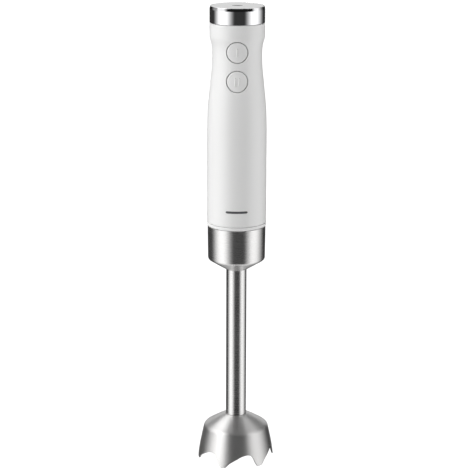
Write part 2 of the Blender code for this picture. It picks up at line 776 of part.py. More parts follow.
def make_armature_parts():
    shaft_outline = [
        (0, 206.5), (2.6, 206.5), (2.6, 226.0), (SHAFT_RADIUS, 226.0), (SHAFT_RADIUS, 248.5),
        (CORE_SHAFT_RADIUS, 248.5), (CORE_SHAFT_RADIUS, 301.5), (SHAFT_RADIUS, 301.5), (SHAFT_RADIUS, 310.0),
        (0, 310.0),
    ]
    bore = CORE_SHAFT_RADIUS + GAP
    commutator = [
        (bore, 290.6), (9.4, 290.6), (9.4, 291.6), (COMMUTATOR_RADIUS, 291.6), (COMMUTATOR_RADIUS, 300.6),
        (bore, 300.6),
    ]
    coupling_hub = tube_outline(2.6 + GAP, COUPLING_RADIUS, 205.0, 214.0)
    return [
        turned("motor_shaft", shaft_outline, "machined_steel", SMALL),
        make_armature_core(),
        make_armature_winding(),
        turned("commutator", commutator, "copper", MEDIUM),
        make_fan(),
        make_coupling("motor_coupling", coupling_hub, 199.0, 206.0, 0, "black_plastic"),
    ]


# ---------------------------------------------------------------- seal, wand and drive

def make_nose_ring():
    """Rubber ring in the nose's groove, squeezed by the cup's insert."""
    section = 0.75
    outline = []
    for i in range(6):
        angle = 2 * math.pi * i / 6
        outline.append((19.15 + section * math.cos(angle), 212.0 + section * math.sin(angle)))
    return turned("nose_o_ring", outline, "rubber")


def make_cup():
    """Steel cup whose conical bottom runs down to the tube."""
    def cone(radius):
        return CONE_BOTTOM + (radius - TUBE_RADIUS) * CONE_SLOPE

    collar = TUBE_RADIUS + GAP
    corner_radius = 25.15
    wall_along_cone = CUP_WALL * math.hypot(1, CONE_SLOPE)
    corner = (corner_radius, cone(corner_radius))
    outline = [(collar, cone(collar))]
    outline += fillet_arc(outline[0], corner, (CUP_RADIUS, CUP_TOP), 2.6, 2)
    outline += [(CUP_RADIUS, CUP_TOP), (CUP_RADIUS - CUP_WALL, CUP_TOP)]
    inner_corner = corner_radius - CUP_WALL
    outline.append((inner_corner, cone(inner_corner) + wall_along_cone))
    outline.append((collar, cone(collar) + wall_along_cone))
    return turned("wand_cup", outline, "brushed_steel")


def make_cup_insert():
    """Plastic liner of the cup: seat for the tube's end, and three lugs for the twist lock."""
    bore = TUBE_RADIUS + GAP
    outer = CUP_RADIUS - CUP_WALL - 0.65
    outline = [
        (bore, 183.5), (12.5, 183.5), (12.5, 189.6), (outer, 189.6), (outer, 216.4), (INSERT_BORE, 216.4),
        (INSERT_BORE, 192.4), (bore, 192.4),
    ]
    insert = turned("cup_insert", outline, "black_plastic")
    for i, angle in enumerate(LUG_ANGLES):
        lug = sector("add_lug_" + str(i), LUG_INNER, INSERT_BORE + 0.6, LUG_BOTTOM, LUG_TOP,
                     angle - LUG_HALF_ANGLE, angle + LUG_HALF_ANGLE, "black_plastic", steps=3)
        unite(insert, lug)
    return insert


def skirt_radius(height):
    """Outer radius of the bell's flared skirt."""
    shoulder_radius, shoulder_height = BELL_SHOULDER
    flare = BELL_RADIUS - shoulder_radius
    return BELL_RADIUS - flare * (max(height, 0.0) / shoulder_height) ** SKIRT_POWER


def bell_outline(rim):
    """Outline of the bell where its rim is at this height: up the outside, then down the inside."""
    neck = TUBE_RADIUS + GAP
    above_rim = 13.0
    dome = [(28.4, 30.9), (26.8, 32.4), (18.5, 38.0), (neck, BELL_NECK)]
    outside = [(skirt_radius(z), z) for z in (rim, above_rim)] + [BELL_SHOULDER] + dome
    inside_dome = [(neck, BELL_NECK - BELL_WALL), (26.0, 31.4), (BELL_SHOULDER[0] - 1.35, 28.4)]
    inside = inside_dome + [(skirt_radius(z) - BELL_WALL, z) for z in (above_rim, rim)]
    return outside + inside


def make_bell_guard():
    """Bell whose rim is cut into six swirl-shaped teeth, lofted from one outline per angle."""
    mesh = bmesh.new()
    slices = []
    for tooth in range(TEETH):
        for past_tooth, rim in RIM:
            angle = math.radians(FIRST_TOOTH + tooth * 360 / TEETH + past_tooth)
            slices.append([
                mesh.verts.new((radius * math.sin(angle), -radius * math.cos(angle), height))
                for radius, height in bell_outline(rim)
            ])
    bridge_rings(mesh, slices, closed=True)
    return add_piece("bell_guard", mesh, "brushed_steel")


def make_wand_parts():
    bush_bore = SHAFT_RADIUS + GAP
    tube_bore = TUBE_RADIUS - TUBE_WALL
    hub = [(6.3, 31.0), (11.5, 31.0), (11.5, 35.9), (7.9, 35.9), (7.9, 44.0), (6.3, 44.0)]
    seal = [(bush_bore, 27.8), (6.0, 27.8), (10.5, 29.2), (10.5, 30.7), (bush_bore, 30.7)]
    return [
        make_cup(),
        make_cup_insert(),
        turned("shaft_tube", tube_outline(tube_bore, TUBE_RADIUS, 36.3, 188.3), "brushed_steel"),
        turned("upper_bush", tube_outline(bush_bore, tube_bore - GAP, 172.0, 184.0), "bronze", MEDIUM),
        turned("lower_bush", tube_outline(bush_bore, 6.0, 31.6, 43.6), "bronze", MEDIUM),
        turned("bell_hub", hub, "black_plastic", MEDIUM),
        turned("shaft_seal", seal, "rubber", MEDIUM),
        make_bell_guard(),
    ]


def make_blade():
    """Cutter of four wings: one pair bent up, the other bent down."""
    reach = 23.0
    bend_start = 11.0
    bend = 0.45
    blade = turned("blade", tube_outline(SHAFT_RADIUS + GAP, 6.5, 16.6, 18.4), "machined_steel", MEDIUM)
    for i in range(4):
        mesh = bmesh.new()
        slices = []
        for radius, half_width in ((4.5, 3.6), (bend_start, 4.2), (reach, 2.2)):
            lift = max(radius - bend_start, 0.0) * bend * (1 if i % 2 == 0 else -1)
            slices.append([
                mesh.verts.new((radius, y, z + lift))
                for y, z in ((-half_width, 16.9), (half_width, 16.9), (half_width, 18.1), (-half_width, 18.1))
            ])
        bridge_rings(mesh, slices, closed=False)
        mesh.faces.new(slices[0])
        mesh.faces.new(slices[-1])
        bmesh.ops.rotate(mesh, matrix=Matrix.Rotation(math.radians(35 + 90 * i), 3, "Z"), verts=mesh.verts)
        unite(blade, add_piece("add_wing" + str(i), mesh, "machined_steel"))
    return blade


def make_drive_parts():
    bore = SHAFT_RADIUS + GAP
    coupling_hub = tube_outline(bore, COUPLING_RADIUS, 190.0, 198.3)
    return [
        turned("drive_shaft", rod_outline(SHAFT_RADIUS, 12.6, 197.6), "machined_steel", SMALL),
        make_coupling("shaft_coupling", coupling_hub, 197.5, 204.6, 60, "black_plastic"),
        turned("blade_hub", tube_outline(bore, 5.6, 18.8, 27.2), "machined_steel", SMALL),
        make_blade(),
        turned("blade_clip", tube_outline(bore, 5.0, 14.2, 16.2), "machined_steel", SMALL),
    ]


# ---------------------------------------------------------------- assembly

def main():
    clear_scene()
    hang(add_axis("handle"), *make_handle_parts(), *make_motor_fixed_parts(), *make_electronics())
    for label, height in BUTTON_HEIGHTS.items():
        axis = add_axis("button_" + label + "_axis", y=handle_front(0, height), z=height)
        hang(axis, *make_button(label, height))
    hang(add_axis("armature_axis", z=STATOR_BOTTOM), *make_armature_parts())
    hang(add_axis("nose_seal_axis", z=212.0), make_nose_ring())
    hang(add_axis("wand_axis", z=CUP_TOP), *make_wand_parts())
    hang(add_axis("drive_axis", z=190.0), *make_drive_parts())


main()
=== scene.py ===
"""Looks of the immersion blender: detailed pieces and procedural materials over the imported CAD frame.

Shapes in this script are in millimetres and angles in degrees; meshes are made in metres.
+Z runs up the blender's axis and the front with the buttons faces -Y.
Outlines of turned pieces are (radius, height, fillet) corners, in order around the section.
"""

import json
import math

import bmesh
import bpy
from mathutils import Matrix, Vector


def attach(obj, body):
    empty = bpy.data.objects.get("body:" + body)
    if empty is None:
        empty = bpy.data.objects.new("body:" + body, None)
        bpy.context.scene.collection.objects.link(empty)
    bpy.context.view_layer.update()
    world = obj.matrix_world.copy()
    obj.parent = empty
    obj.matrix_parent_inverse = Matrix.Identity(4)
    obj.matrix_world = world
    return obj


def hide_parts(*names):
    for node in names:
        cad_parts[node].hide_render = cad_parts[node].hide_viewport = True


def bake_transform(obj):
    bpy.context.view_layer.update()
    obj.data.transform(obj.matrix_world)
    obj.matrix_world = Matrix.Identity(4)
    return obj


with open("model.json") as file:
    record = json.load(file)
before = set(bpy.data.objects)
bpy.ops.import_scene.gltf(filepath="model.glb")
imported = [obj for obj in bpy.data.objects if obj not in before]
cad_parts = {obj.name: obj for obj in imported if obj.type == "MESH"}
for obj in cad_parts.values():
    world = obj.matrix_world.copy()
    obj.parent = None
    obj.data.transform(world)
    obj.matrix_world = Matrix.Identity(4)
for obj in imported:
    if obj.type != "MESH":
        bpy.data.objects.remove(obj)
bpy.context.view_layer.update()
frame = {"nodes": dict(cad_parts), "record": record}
SLOTS = {part["node"]: part["material_slot"] for part in frame["record"]["subparts"]}

MM = 0.001
GAP = 0.3
FINE = 128
ROUND = 96
SMALL = 48
FILLET_STEPS = 5
FILLET_SUPPORT = 1.25
EDGE_TURNS = (30, 60, 90)
SHARP_ANGLE = math.radians(40)
SQUARE = ((-1, -1), (1, -1), (1, 1), (-1, 1))

# Camera and floor: places in metres, turns in degrees and the lens in millimetres
# The floor lies far enough down for the wand to be pulled right out above it
CAMERA_PLACE = (-0.00135, -1.4087, 0.5828)
CAMERA_TILT = 75.093
CAMERA_ROLL = 0.2
CAMERA_LENS = 126.5
FLOOR_HALF = 40.0
FLOOR_DROP = 0.052

# Handle: (height, outer radius) points that a smooth curve joins
HANDLE_CURVE = [
    (220.9, 25.87), (298.0, 25.87), (318.0, 25.4), (346.0, 22.9), (359.7, 21.6),
    (370.0, 21.4), (377.0, 22.05), (383.2, 23.65), (385.0, 23.75), (395.5, 23.75),
]
HOUSING_BOTTOM = 220.9
HOUSING_TOP = 395.5
HOUSING_WALL = 2.2
HOUSING_FILLET = 0.3
LEVEL_STEP = 2.2
# Rings between the housing's grid and an opening, as parts of the way to the opening
PATCH_BLENDS = (0.3, 0.6, 0.85)

# Buttons
BUTTON_HEIGHTS = {"one": 372.6, "two": 347.9}
BUTTON_RADIUS = 8.7
BUTTON_HOLE = 9.35
BUTTON_PATCH = 11.0
BUTTON_COLUMNS = 11
BUTTON_EDGE = 0.5
BUTTON_FACE_RINGS = (0, 2, 4, 6, 7.4, 8.1)
# Behind the face: (radius, y) of the side, the flange and the stem
BUTTON_BACK = (
    (BUTTON_RADIUS, -17.5), (BUTTON_RADIUS, -16.0), (10.2, -16.0), (10.2, -14.8), (2.3, -14.8),
    (2.3, -12.1), (0, -12.1),
)
MARK_HALF_HEIGHT = 3.5
MARK_HALF_WIDTH = 0.75
# (inwards from the mark's side, up from the button's face)
MARK_PROFILE = ((0.0, -0.3), (0.0, 0.15), (0.05, 0.28), (0.15, 0.38), (0.32, 0.44), (0.55, 0.45))
MARK_PLACES = {"one": (0.0,), "two": (-1.7, 1.7)}

# Return springs of the buttons
SPRING_RADIUS = 5.3
SPRING_WIRE = 0.3
SPRING_FRONT = -14.1
SPRING_BACK = -5.7
SPRING_TURNS = 4

# Plain bar printed on the front
PRINT_HEIGHT = 234.5
PRINT_HALF_WIDTH = 9.5
PRINT_HALF_HEIGHT = 1.0
PRINT_LIFT = 0.03
PRINT_THICKNESS = 0.05

# Vents and cord outlet, at the back
VENT_ROWS = [238.0 + 4.0 * row for row in range(5)] + [338.0 + 4.0 * row for row in range(5)]
VENT_HEIGHT = 1.6
VENT_HALF_WIDTH = 8.0
VENT_MARGIN = 1.2
VENT_COLUMNS = 9
GLAND_HEIGHT = 389.8
GLAND_HOLE = 5.1
GLAND_COLUMNS = 6
GLAND_PATCH = (384.0, 395.0)

# Cap
TOP = 410.0
CAP_RADIUS = 23.75
CAP_FACE_RADIUS = 22.7
CAP_LEDGE = TOP - 2.0
INLAY_HALF_LENGTH = 4.6
INLAY_HALF_WIDTH = 2.6
# (part of the oval's size, height)
INLAY_RINGS = ((0.0, TOP - 0.2), (1.0, TOP - 0.2), (1.0, TOP + 0.02), (0.97, TOP + 0.04), (0.0, TOP + 0.04))

# Wand and bell guard
CUP_RADIUS = 25.5
CUP_TOP = 217.4
CUP_WALL = 1.2
CONE_BOTTOM = 177.0
CONE_SLOPE = 0.621
TUBE_RADIUS = 9.0
BELL_RADIUS = 34.2
BELL_SHOULDER = (29.0, 29.0)
BELL_WALL = 1.2
SKIRT_POWER = 1.3
TEETH = 6
FIRST_TOOTH = -21.07
# One pitch of the bell's rim: (degrees past a tooth's middle, height)
RIM = [
    (0.0, 0.0), (3.0, 0.0), (12.0, 4.4), (22.0, 7.9), (32.0, 10.7), (40.0, 11.5),
    (45.0, 10.9), (48.5, 8.7), (52.5, 3.4), (57.0, 0.0), (60.0, 0.0),
]
BELL_COLUMNS = 360
# The dark disc under the bell lies this far below its teeth
SHADE_DROP = 0.15

# Drive: the cutter's wings bend after a straight root, narrow towards the tip and end in a round
DRIVE_BORE = 3.3
WINGS = 4
FIRST_WING = 35
WING_HEIGHT = 17.5
WING_START = 5.0
WING_LENGTH = 18.0
WING_STEPS = 14
WING_HALF_WIDTH = 4.0
WING_HALF_THICKNESS = 0.6
WING_EDGE_HALF = 0.3
WING_BEVEL = 1.6
WING_EDGE_BEVEL = 0.4
WING_BEND_START = 9.5
WING_BEND_EASE = 1.5
WING_BEND_SLOPE = 0.45
WING_TAPER_START = 10.0
WING_TAPER = 1.8 / 13
WING_TIP_START = 21
WING_TIP_CURVE = 0.25
COUPLING_RADIUS = 8.4
DOGS = 3
DOG_INNER = 4.6
DOG_OUTER = 8.1
DOG_HALF_ANGLE = 14

# Twist lock
NOSE_RADIUS = 19.4
INSERT_BORE = 20.1
LUG_ANGLES = (33, 153, 273)
LUG_HALF_ANGLE = 11.5
LUG_INNER = 17.8
LUG_BOTTOM = 205.0
LUG_TOP = 208.4
SLOT_PLAY = 2.0
SLOT_TURN = 25

# Screws of the nose
SCREW_X = 12.0
SCREW_HEAD = 218.9
SCREW_SEAT = 220.9
SCREW_TIP = 233.0
RECESS_ARM = 1.5
RECESS_HALF_WIDTH = 0.35

# Studio lights as patches of the world: (across, upright, strength)
# Each range is (dark, full, full, dark) in degrees; 0 across is the front and 90 is +X
BELOW = (-58, -36, 1, 6)
LEVEL = (1, 5, 7, 9)
CROWN = (7, 9, 19, 23)
ABOVE = (19, 23, 40, 60)
LEFT_NEAR = (-90, -62, -48, -26)
RIGHT_NEAR = (32, 58, 68, 130)
EVERYWHERE = (-20, -10, 400, 500)
SIDE_LIGHTS = (
    ((-118, -68, -58, -9), BELOW, 1.6),
    ((28, 70, 78, 138), BELOW, 1.45),
    (LEFT_NEAR, LEVEL, 2.0),
    (RIGHT_NEAR, LEVEL, 2.1),
    ((-130, -85, -62, -40), CROWN, 1.15),
    ((62, 80, 92, 150), CROWN, 1.15),
    (LEFT_NEAR, ABOVE, 2.7),
    ((-175, -125, -100, -72), (1, 6, 40, 60), 0.36),
    ((-150, -110, -60, -30), (22, 38, 50, 68), 3.1),
    (RIGHT_NEAR, ABOVE, 2.35),
    ((-70, -30, 60, 90), (22, 45, 60, 80), 0.5),
)
# The same on both sides: the backdrop, the room below the horizon and the floor
ROOM_LIGHTS = (
    ((140, 165, 400, 500), (-2, 4, 100, 110), 0.9),
    (EVERYWHERE, (-200, -190, -14, 2), 0.045),
    (EVERYWHERE, (-200, -190, -60, -35), 0.95),
)
ROOM_GLOW = 0.012


# ---------------------------------------------------------------- curves and outlines

def smooth_value(knots, at):
    """Read a smooth curve through (position, value) knots that never overshoots between them."""
    def slope(i):
        if i == 0 or i == len(knots) - 1:
            return 0.0
        before = (knots[i][1] - knots[i - 1][1]) / (knots[i][0] - knots[i - 1][0])
        after = (knots[i + 1][1] - knots[i][1]) / (knots[i + 1][0] - knots[i][0])
        if before * after <= 0:
            return 0.0
        return 2 * before * after / (before + after)

    if at <= knots[0][0]:
        return knots[0][1]
    for i in range(len(knots) - 1):
        (x0, y0), (x1, y1) = knots[i], knots[i + 1]
        if at <= x1:
            width = x1 - x0
            t = (at - x0) / width
            rise = y0 * (1 + 2 * t) * (1 - t) ** 2 + y1 * t * t * (3 - 2 * t)
            return rise + width * t * (1 - t) * (slope(i) * (1 - t) - slope(i + 1) * t)
    return knots[-1][1]


def handle_radius(height):
    return smooth_value(HANDLE_CURVE, height)


def handle_front(x, height):
    """Y of the handle's front surface at this place."""
    return -math.sqrt(handle_radius(height) ** 2 - x * x)


def rounded_outline(corners, closed=True):
    """Round off the corners of an outline, with a supporting point just before and after each arc."""
    points = []
    count = len(corners)
    for i, (x, y, fillet) in enumerate(corners):
        ends = not closed and i in (0, count - 1)
        if fillet == 0 or ends:
            points.append((x, y))
            continue
        corner = Vector((x, y))
        to_before = (Vector(corners[i - 1][:2]) - corner).normalized()
        to_after = (Vector(corners[(i + 1) % count][:2]) - corner).normalized()
        half = to_before.angle(to_after) / 2
        centre = corner + (to_before + to_after).normalized() * fillet / math.sin(half)
        reach = fillet / math.tan(half)
        start = corner + to_before * reach - centre
        end = corner + to_after * reach - centre
        points.append(tuple(corner + to_before * reach * FILLET_SUPPORT))
        for step in range(FILLET_STEPS + 1):
            direction = start.lerp(end, step / FILLET_STEPS).normalized()
            points.append(tuple(centre + direction * fillet))
        points.append(tuple(corner + to_after * reach * FILLET_SUPPORT))
    return points


def even_angles(count):
    return [2 * math.pi * i / count for i in range(count)]


def edge_arc(radius, turns=EDGE_TURNS):
    """Steps of a rounded edge: (distance left along the first face, distance gone along the second)."""
    return [
        (radius * (1 - math.sin(math.radians(turn))), radius * (1 - math.cos(math.radians(turn))))
        for turn in turns
    ]


# ---------------------------------------------------------------- mesh helpers

class Shape:
    """Points and faces that are gathered in millimetres and then made into an object."""

    def __init__(self):
        self.points = []
        self.faces = []

    def add_ring(self, points):
        first = len(self.points)
        self.points += [tuple(point) for point in points]
        return list(range(first, first + len(points)))

    def bridge(self, lower, upper, closed=True):
        """Join two rings of the same length, or a ring and a single point."""
        count = max(len(lower), len(upper))
        for i in range(count if closed else count - 1):
            j = (i + 1) % count
            corners = [lower[i % len(lower)], lower[j % len(lower)]]
            corners += [upper[j % len(upper)], upper[i % len(upper)]]
            unique = list(dict.fromkeys(corners))
            if len(unique) > 2:
                self.faces.append(unique)

    def bridge_all(self, rings, closed_path=False, closed_rings=True):
        for lower, upper in zip(rings, rings[1:]):
            self.bridge(lower, upper, closed_rings)
        if closed_path:
            self.bridge(rings[-1], rings[0], closed_rings)

    def close_ends(self, rings):
        self.faces += [rings[0][::-1], rings[-1]]

    def turn(self, outline, columns, place=lambda x, y, z: (x, y, z)):
        """Add a turned form about Z; points at radius 0 close its ends."""
        rings = []
        for radius, height in outline:
            if radius == 0:
                rings.append(self.add_ring([place(0, 0, height)]))
                continue
            rings.append(self.add_ring([
                place(radius * math.cos(angle), radius * math.sin(angle), height)
                for angle in even_angles(columns)
            ]))
        self.bridge_all(rings, closed_path=outline[0][0] != 0)

    def make(self, name):
        mesh = bpy.data.meshes.new(name)
        mesh.from_pydata([Vector(point) * MM for point in self.points], [], self.faces)
        mesh.validate()
        face_outwards(mesh)
        mesh.shade_smooth()
        mesh.set_sharp_from_angle(angle=SHARP_ANGLE)
        obj = bpy.data.objects.new(name, mesh)
        bpy.context.scene.collection.objects.link(obj)
        return obj


def face_outwards(mesh):
    work = bmesh.new()
    work.from_mesh(mesh)
    bmesh.ops.recalc_face_normals(work, faces=work.faces)
    work.to_mesh(mesh)
    work.free()


def add_sector(shape, inner, outer, bottom, top, start, end):
    """Add part of a ring between two angles, with softened edges."""
    edge = 0.25
    steps = 8
    section = rounded_outline([
        (inner, bottom, edge), (outer, bottom, edge), (outer, top, edge), (inner, top, edge),
    ])
    middle = Vector(((inner + outer) / 2, (bottom + top) / 2))
    lean = math.degrees(edge / outer)
    turns = [(start, 1.0), (start + lean, 0.0)]
    turns += [(start + (end - start) * i / steps, 0.0) for i in range(1, steps)]
    turns += [(end - lean, 0.0), (end, 1.0)]
    slices = []
    for degrees, shrink in turns:
        angle = math.radians(degrees)
        ring = []
        for point in section:
            radius, height = Vector(point).lerp(middle, shrink * edge / (Vector(point) - middle).length)
            ring.append((radius * math.cos(angle), radius * math.sin(angle), height))
        slices.append(shape.add_ring(ring))
    shape.bridge_all(slices)
    shape.close_ends(slices)


def carve(target, cutters):
    """Cut shapes out of a piece for good."""
    for cutter in cutters:
        modifier = target.modifiers.new("cut", "BOOLEAN")
        modifier.operation = "DIFFERENCE"
        modifier.solver = "EXACT"
        modifier.object = cutter
    evaluated = target.evaluated_get(bpy.context.evaluated_depsgraph_get())
    mesh = bpy.data.meshes.new_from_object(evaluated)
    target.modifiers.clear()
    target.data = mesh
    mesh.shade_smooth()
    mesh.set_sharp_from_angle(angle=SHARP_ANGLE)
    for cutter in cutters:
        bpy.data.objects.remove(cutter)
    return target


def lathe(name, corners, columns=ROUND):
    """A turned piece about the blender's axis."""
    shape = Shape()
    shape.turn(rounded_outline(corners, closed=corners[0][0] != 0), columns)
    return shape.make(name)


def lathe_across(name, corners, height, columns=SMALL):
    """A turned piece about an axis along Y; outline heights are Y values."""
    shape = Shape()
    outline = rounded_outline(corners, closed=corners[0][0] != 0)
    shape.turn(outline, columns, lambda x, y, z: (x, z, height + y))
    return shape.make(name)


# ---------------------------------------------------------------- housing

def rounded_slot(u, v, half_width, half_height):
    """Point of a rounded opening's outline for (u, v) on the edge of the square from -1 to 1."""
    radius = min(half_width, half_height)
    x, z = u * half_width, v * half_height
    core_x = max(-(half_width - radius), min(half_width - radius, x))
    core_z = max(-(half_height - radius), min(half_height - radius, z))
    length = math.hypot(x - core_x, z - core_z)
    return core_x + (x - core_x) * radius / length, core_z + (z - core_z) * radius / length


def housing_openings():
    """(side, centre, half width, half height, half columns, patch bottom, patch top) of each opening."""
    openings = []
    for height in BUTTON_HEIGHTS.values():
        openings.append((-1, height, BUTTON_HOLE, BUTTON_HOLE, BUTTON_COLUMNS,
                         height - BUTTON_PATCH, height + BUTTON_PATCH))
    for low in VENT_ROWS:
        openings.append((1, low + VENT_HEIGHT / 2, VENT_HALF_WIDTH, VENT_HEIGHT / 2, VENT_COLUMNS,
                         low - VENT_MARGIN, low + VENT_HEIGHT + VENT_MARGIN))
    openings.append((1, GLAND_HEIGHT, GLAND_HOLE, GLAND_HOLE, GLAND_COLUMNS, *GLAND_PATCH))
    return openings


def housing_levels(openings):
    """Heights of the housing's grid, with a level at each end of every patch."""
    fixed = {HOUSING_BOTTOM + HOUSING_FILLET, HOUSING_TOP - HOUSING_FILLET}
    for opening in openings:
        fixed |= {opening[5], opening[6]}
    fixed = sorted(fixed)
    levels = []
    for low, high in zip(fixed, fixed[1:]):
        steps = max(1, math.ceil((high - low) / LEVEL_STEP))
        levels += [low + (high - low) * i / steps for i in range(steps)]
    return levels + [fixed[-1]]


def on_housing(x, z, side, inset, depth=0.0):
    radius = handle_radius(z) - inset
    return (x, side * (math.sqrt(radius * radius - x * x) - depth), z)


def patch_border(levels, opening):
    """Grid places (column, level) around a patch, in order."""
    side, _, _, _, half, low, high = opening
    middle = 0 if side < 0 else FINE // 2
    first = levels.index(low)
    last = levels.index(high)
    border = [(column, first) for column in range(-half, half)]
    border += [(half, level) for level in range(first, last)]
    border += [(column, last) for column in range(half, -half, -1)]
    border += [(-half, level) for level in range(last, first, -1)]
    return middle, border


def fill_patch(shape, grid, levels, opening, inset):
    """Join the grid to the rounded edge of an opening, and return the rings at the opening's edge."""
    side, centre, half_width, half_height, half, low, high = opening
    middle, border = patch_border(levels, opening)
    outer = [grid[level][(middle + column) % FINE] for column, level in border]
    edge = []
    for column, level in border:
        u = column / half
        v = (levels[level] - (low + high) / 2) / ((high - low) / 2)
        edge.append((u if side < 0 else -u, v))
    fillet = HOUSING_FILLET if inset == 0 else 0.0
    rim = [rounded_slot(u, v, half_width + fillet, half_height + fillet) for u, v in edge]
    rings = [outer]
    for blend in PATCH_BLENDS:
        points = []
        for index, (x, z) in zip(outer, rim):
            ox, _, oz = shape.points[index]
            px, pz = ox + (x - ox) * blend, oz + (z + centre - oz) * blend
            points.append(on_housing(px, pz, side, inset))
        rings.append(shape.add_ring(points))
    rings.append(shape.add_ring([on_housing(x, z + centre, side, inset) for x, z in rim]))
    if fillet:
        for grow, sink in edge_arc(fillet):
            points = [rounded_slot(u, v, half_width + grow, half_height + grow) for u, v in edge]
            points = [on_housing(x, z + centre, side, inset, sink) for x, z in points]
            rings.append(shape.add_ring(points))
    shape.bridge_all(rings)
    return rings[-1]


def find_cut_cells(levels, openings):
    """Cells of the housing's grid that the patches take the place of."""
    cells = set()
    for side, _, _, _, half, low, high in openings:
        middle = 0 if side < 0 else FINE // 2
        for level in range(levels.index(low), levels.index(high)):
            for column in range(-half, half):
                cells.add(((middle + column) % FINE, level))
    return cells


def housing_ring(shape, radius, height):
    return shape.add_ring([
        (radius * math.sin(angle), -radius * math.cos(angle), height) for angle in even_angles(FINE)
    ])


def make_housing():
    """One-piece sleeve with rounded openings for the buttons, vents and cord gland."""
    shape = Shape()
    openings = housing_openings()
    levels = housing_levels(openings)
    cut_cells = find_cut_cells(levels, openings)
    ends = []
    rims = []
    for inset in (0.0, HOUSING_WALL):
        grid = [housing_ring(shape, handle_radius(height) - inset, height) for height in levels]
        for level in range(len(levels) - 1):
            for column in range(FINE):
                if (column, level) not in cut_cells:
                    after = (column + 1) % FINE
                    shape.faces.append([grid[level][column], grid[level][after], grid[level + 1][after],
                                        grid[level + 1][column]])
        rims.append([fill_patch(shape, grid, levels, opening, inset) for opening in openings])
        ends.append((grid[0], grid[-1]))
    for outer_rim, inner_rim in zip(*rims):
        shape.bridge(outer_rim, inner_rim)
    for i, (edge, direction) in enumerate(((HOUSING_BOTTOM, -1), (HOUSING_TOP, 1))):
        radius = handle_radius(edge)
        rings = [ends[0][i]]
        for drop, inset in edge_arc(HOUSING_FILLET):
            rings.append(housing_ring(shape, radius - inset, edge - direction * drop))
        rings.append(housing_ring(shape, radius - HOUSING_WALL, edge))
        rings.append(ends[1][i])
        shape.bridge_all(rings)
    remove_loose(shape)
    return shape.make("housing_shell_surface")


def remove_loose(shape):
    """Drop the grid points inside the openings, which no face uses."""
    used = sorted({index for face in shape.faces for index in face})
    place = {index: i for i, index in enumerate(used)}
    shape.points = [shape.points[index] for index in used]
    shape.faces = [[place[index] for index in face] for face in shape.faces]


# ---------------------------------------------------------------- buttons, cap, trim and gland

def add_mark(shape, x, centre):
    """Raised bar with round ends and a rounded top, on the button's curved face."""
    steps = 40
    rings = []
    for shrink, rise in MARK_PROFILE:
        width = MARK_HALF_WIDTH - shrink
        ring = []
        for angle in even_angles(steps):
            u, v = math.cos(angle), math.sin(angle)
            core = math.copysign(MARK_HALF_HEIGHT - MARK_HALF_WIDTH, v)
            px, pz = x + u * width, centre + core + v * width
            ring.append((px, handle_front(px, pz) - rise, pz))
        rings.append(shape.add_ring(ring))
    shape.bridge_all(rings)
    shape.close_ends(rings)


def make_button(label, height):
    """Flush round button whose face follows the handle, with a rounded edge and raised marks."""
    shape = Shape()
    columns = 80
    edge_turns = (0, 22, 45, 68, 90)
    face = [(radius, 0) for radius in BUTTON_FACE_RINGS]
    face += [(BUTTON_RADIUS - inset, depth) for inset, depth in edge_arc(BUTTON_EDGE, edge_turns)]
    rings = []
    angles = even_angles(columns)
    for radius, depth in face:
        places = [(radius * math.cos(a), height + radius * math.sin(a)) for a in angles]
        if radius == 0:
            places = places[:1]
        rings.append(shape.add_ring([(x, handle_front(x, z) + depth, z) for x, z in places]))
    for radius, y in BUTTON_BACK:
        ring = [(radius * math.cos(a), y, height + radius * math.sin(a)) for a in angles]
        rings.append(shape.add_ring(ring if radius else ring[:1]))
    shape.bridge_all(rings)
    for x in MARK_PLACES[label]:
        add_mark(shape, x, height)
    return shape.make("button_" + label + "_surface")


def make_button_spring(label, height):
    """Coil of round wire between the button's flange and the board."""
    shape = Shape()
    turn_steps = 24
    sides = 8
    count = SPRING_TURNS * turn_steps
    rings = []
    for i in range(count + 1):
        angle = 2 * math.pi * i / turn_steps
        outward = Vector((math.cos(angle), 0.0, math.sin(angle)))
        y = SPRING_FRONT + (SPRING_BACK - SPRING_FRONT) * i / count
        centre = Vector((0.0, y, height)) + outward * SPRING_RADIUS
        ring = []
        for around in even_angles(sides):
            out = outward * math.cos(around) + Vector((0, math.sin(around), 0))
            ring.append(centre + out * SPRING_WIRE)
        rings.append(shape.add_ring(ring))
    shape.bridge_all(rings)
    shape.close_ends(rings)
    return shape.make("button_spring_" + label + "_surface")


def make_cap_ring():
    return lathe("cap_ring_surface", [
        (21.2, 395.9, 0), (CAP_RADIUS, 395.9, 0.25), (CAP_RADIUS, 407.4, 0.15), (CAP_RADIUS - 0.5, TOP, 0.2),
        (CAP_FACE_RADIUS, TOP, 0.1), (CAP_FACE_RADIUS, CAP_LEDGE, 0), (18.8, CAP_LEDGE, 0),
        (18.8, 391.0, 0.3), (21.2, 391.0, 0.3),
    ], FINE)


def make_cap_disc():
    edge = CAP_FACE_RADIUS - GAP
    underside = CAP_LEDGE + GAP
    return lathe("cap_disc_surface", [
        (0, underside, 0), (edge, underside, 0.1), (edge, TOP, 0.2), (0, TOP, 0),
    ], FINE)


def make_trim():
    return lathe("lower_trim_ring_surface", [
        (19.8, 217.7, 0.2), (26.1, 217.7, 0.9), (26.1, 220.6, 0.35), (19.8, 220.6, 0.2),
    ], FINE)


def make_gland():
    return lathe_across("cord_gland_surface", [
        (3.9, 18.2, 0.3), (5.5, 18.2, 0.3), (5.5, 19.8, 0.2), (4.8, 19.8, 0), (4.8, 24.1, 0),
        (5.5, 24.1, 0.3), (5.2, 26.0, 0.5), (3.9, 26.0, 0.4),
    ], GLAND_HEIGHT)


# ---------------------------------------------------------------- wand and drive

def cone_height(radius):
    return CONE_BOTTOM + (radius - TUBE_RADIUS) * CONE_SLOPE


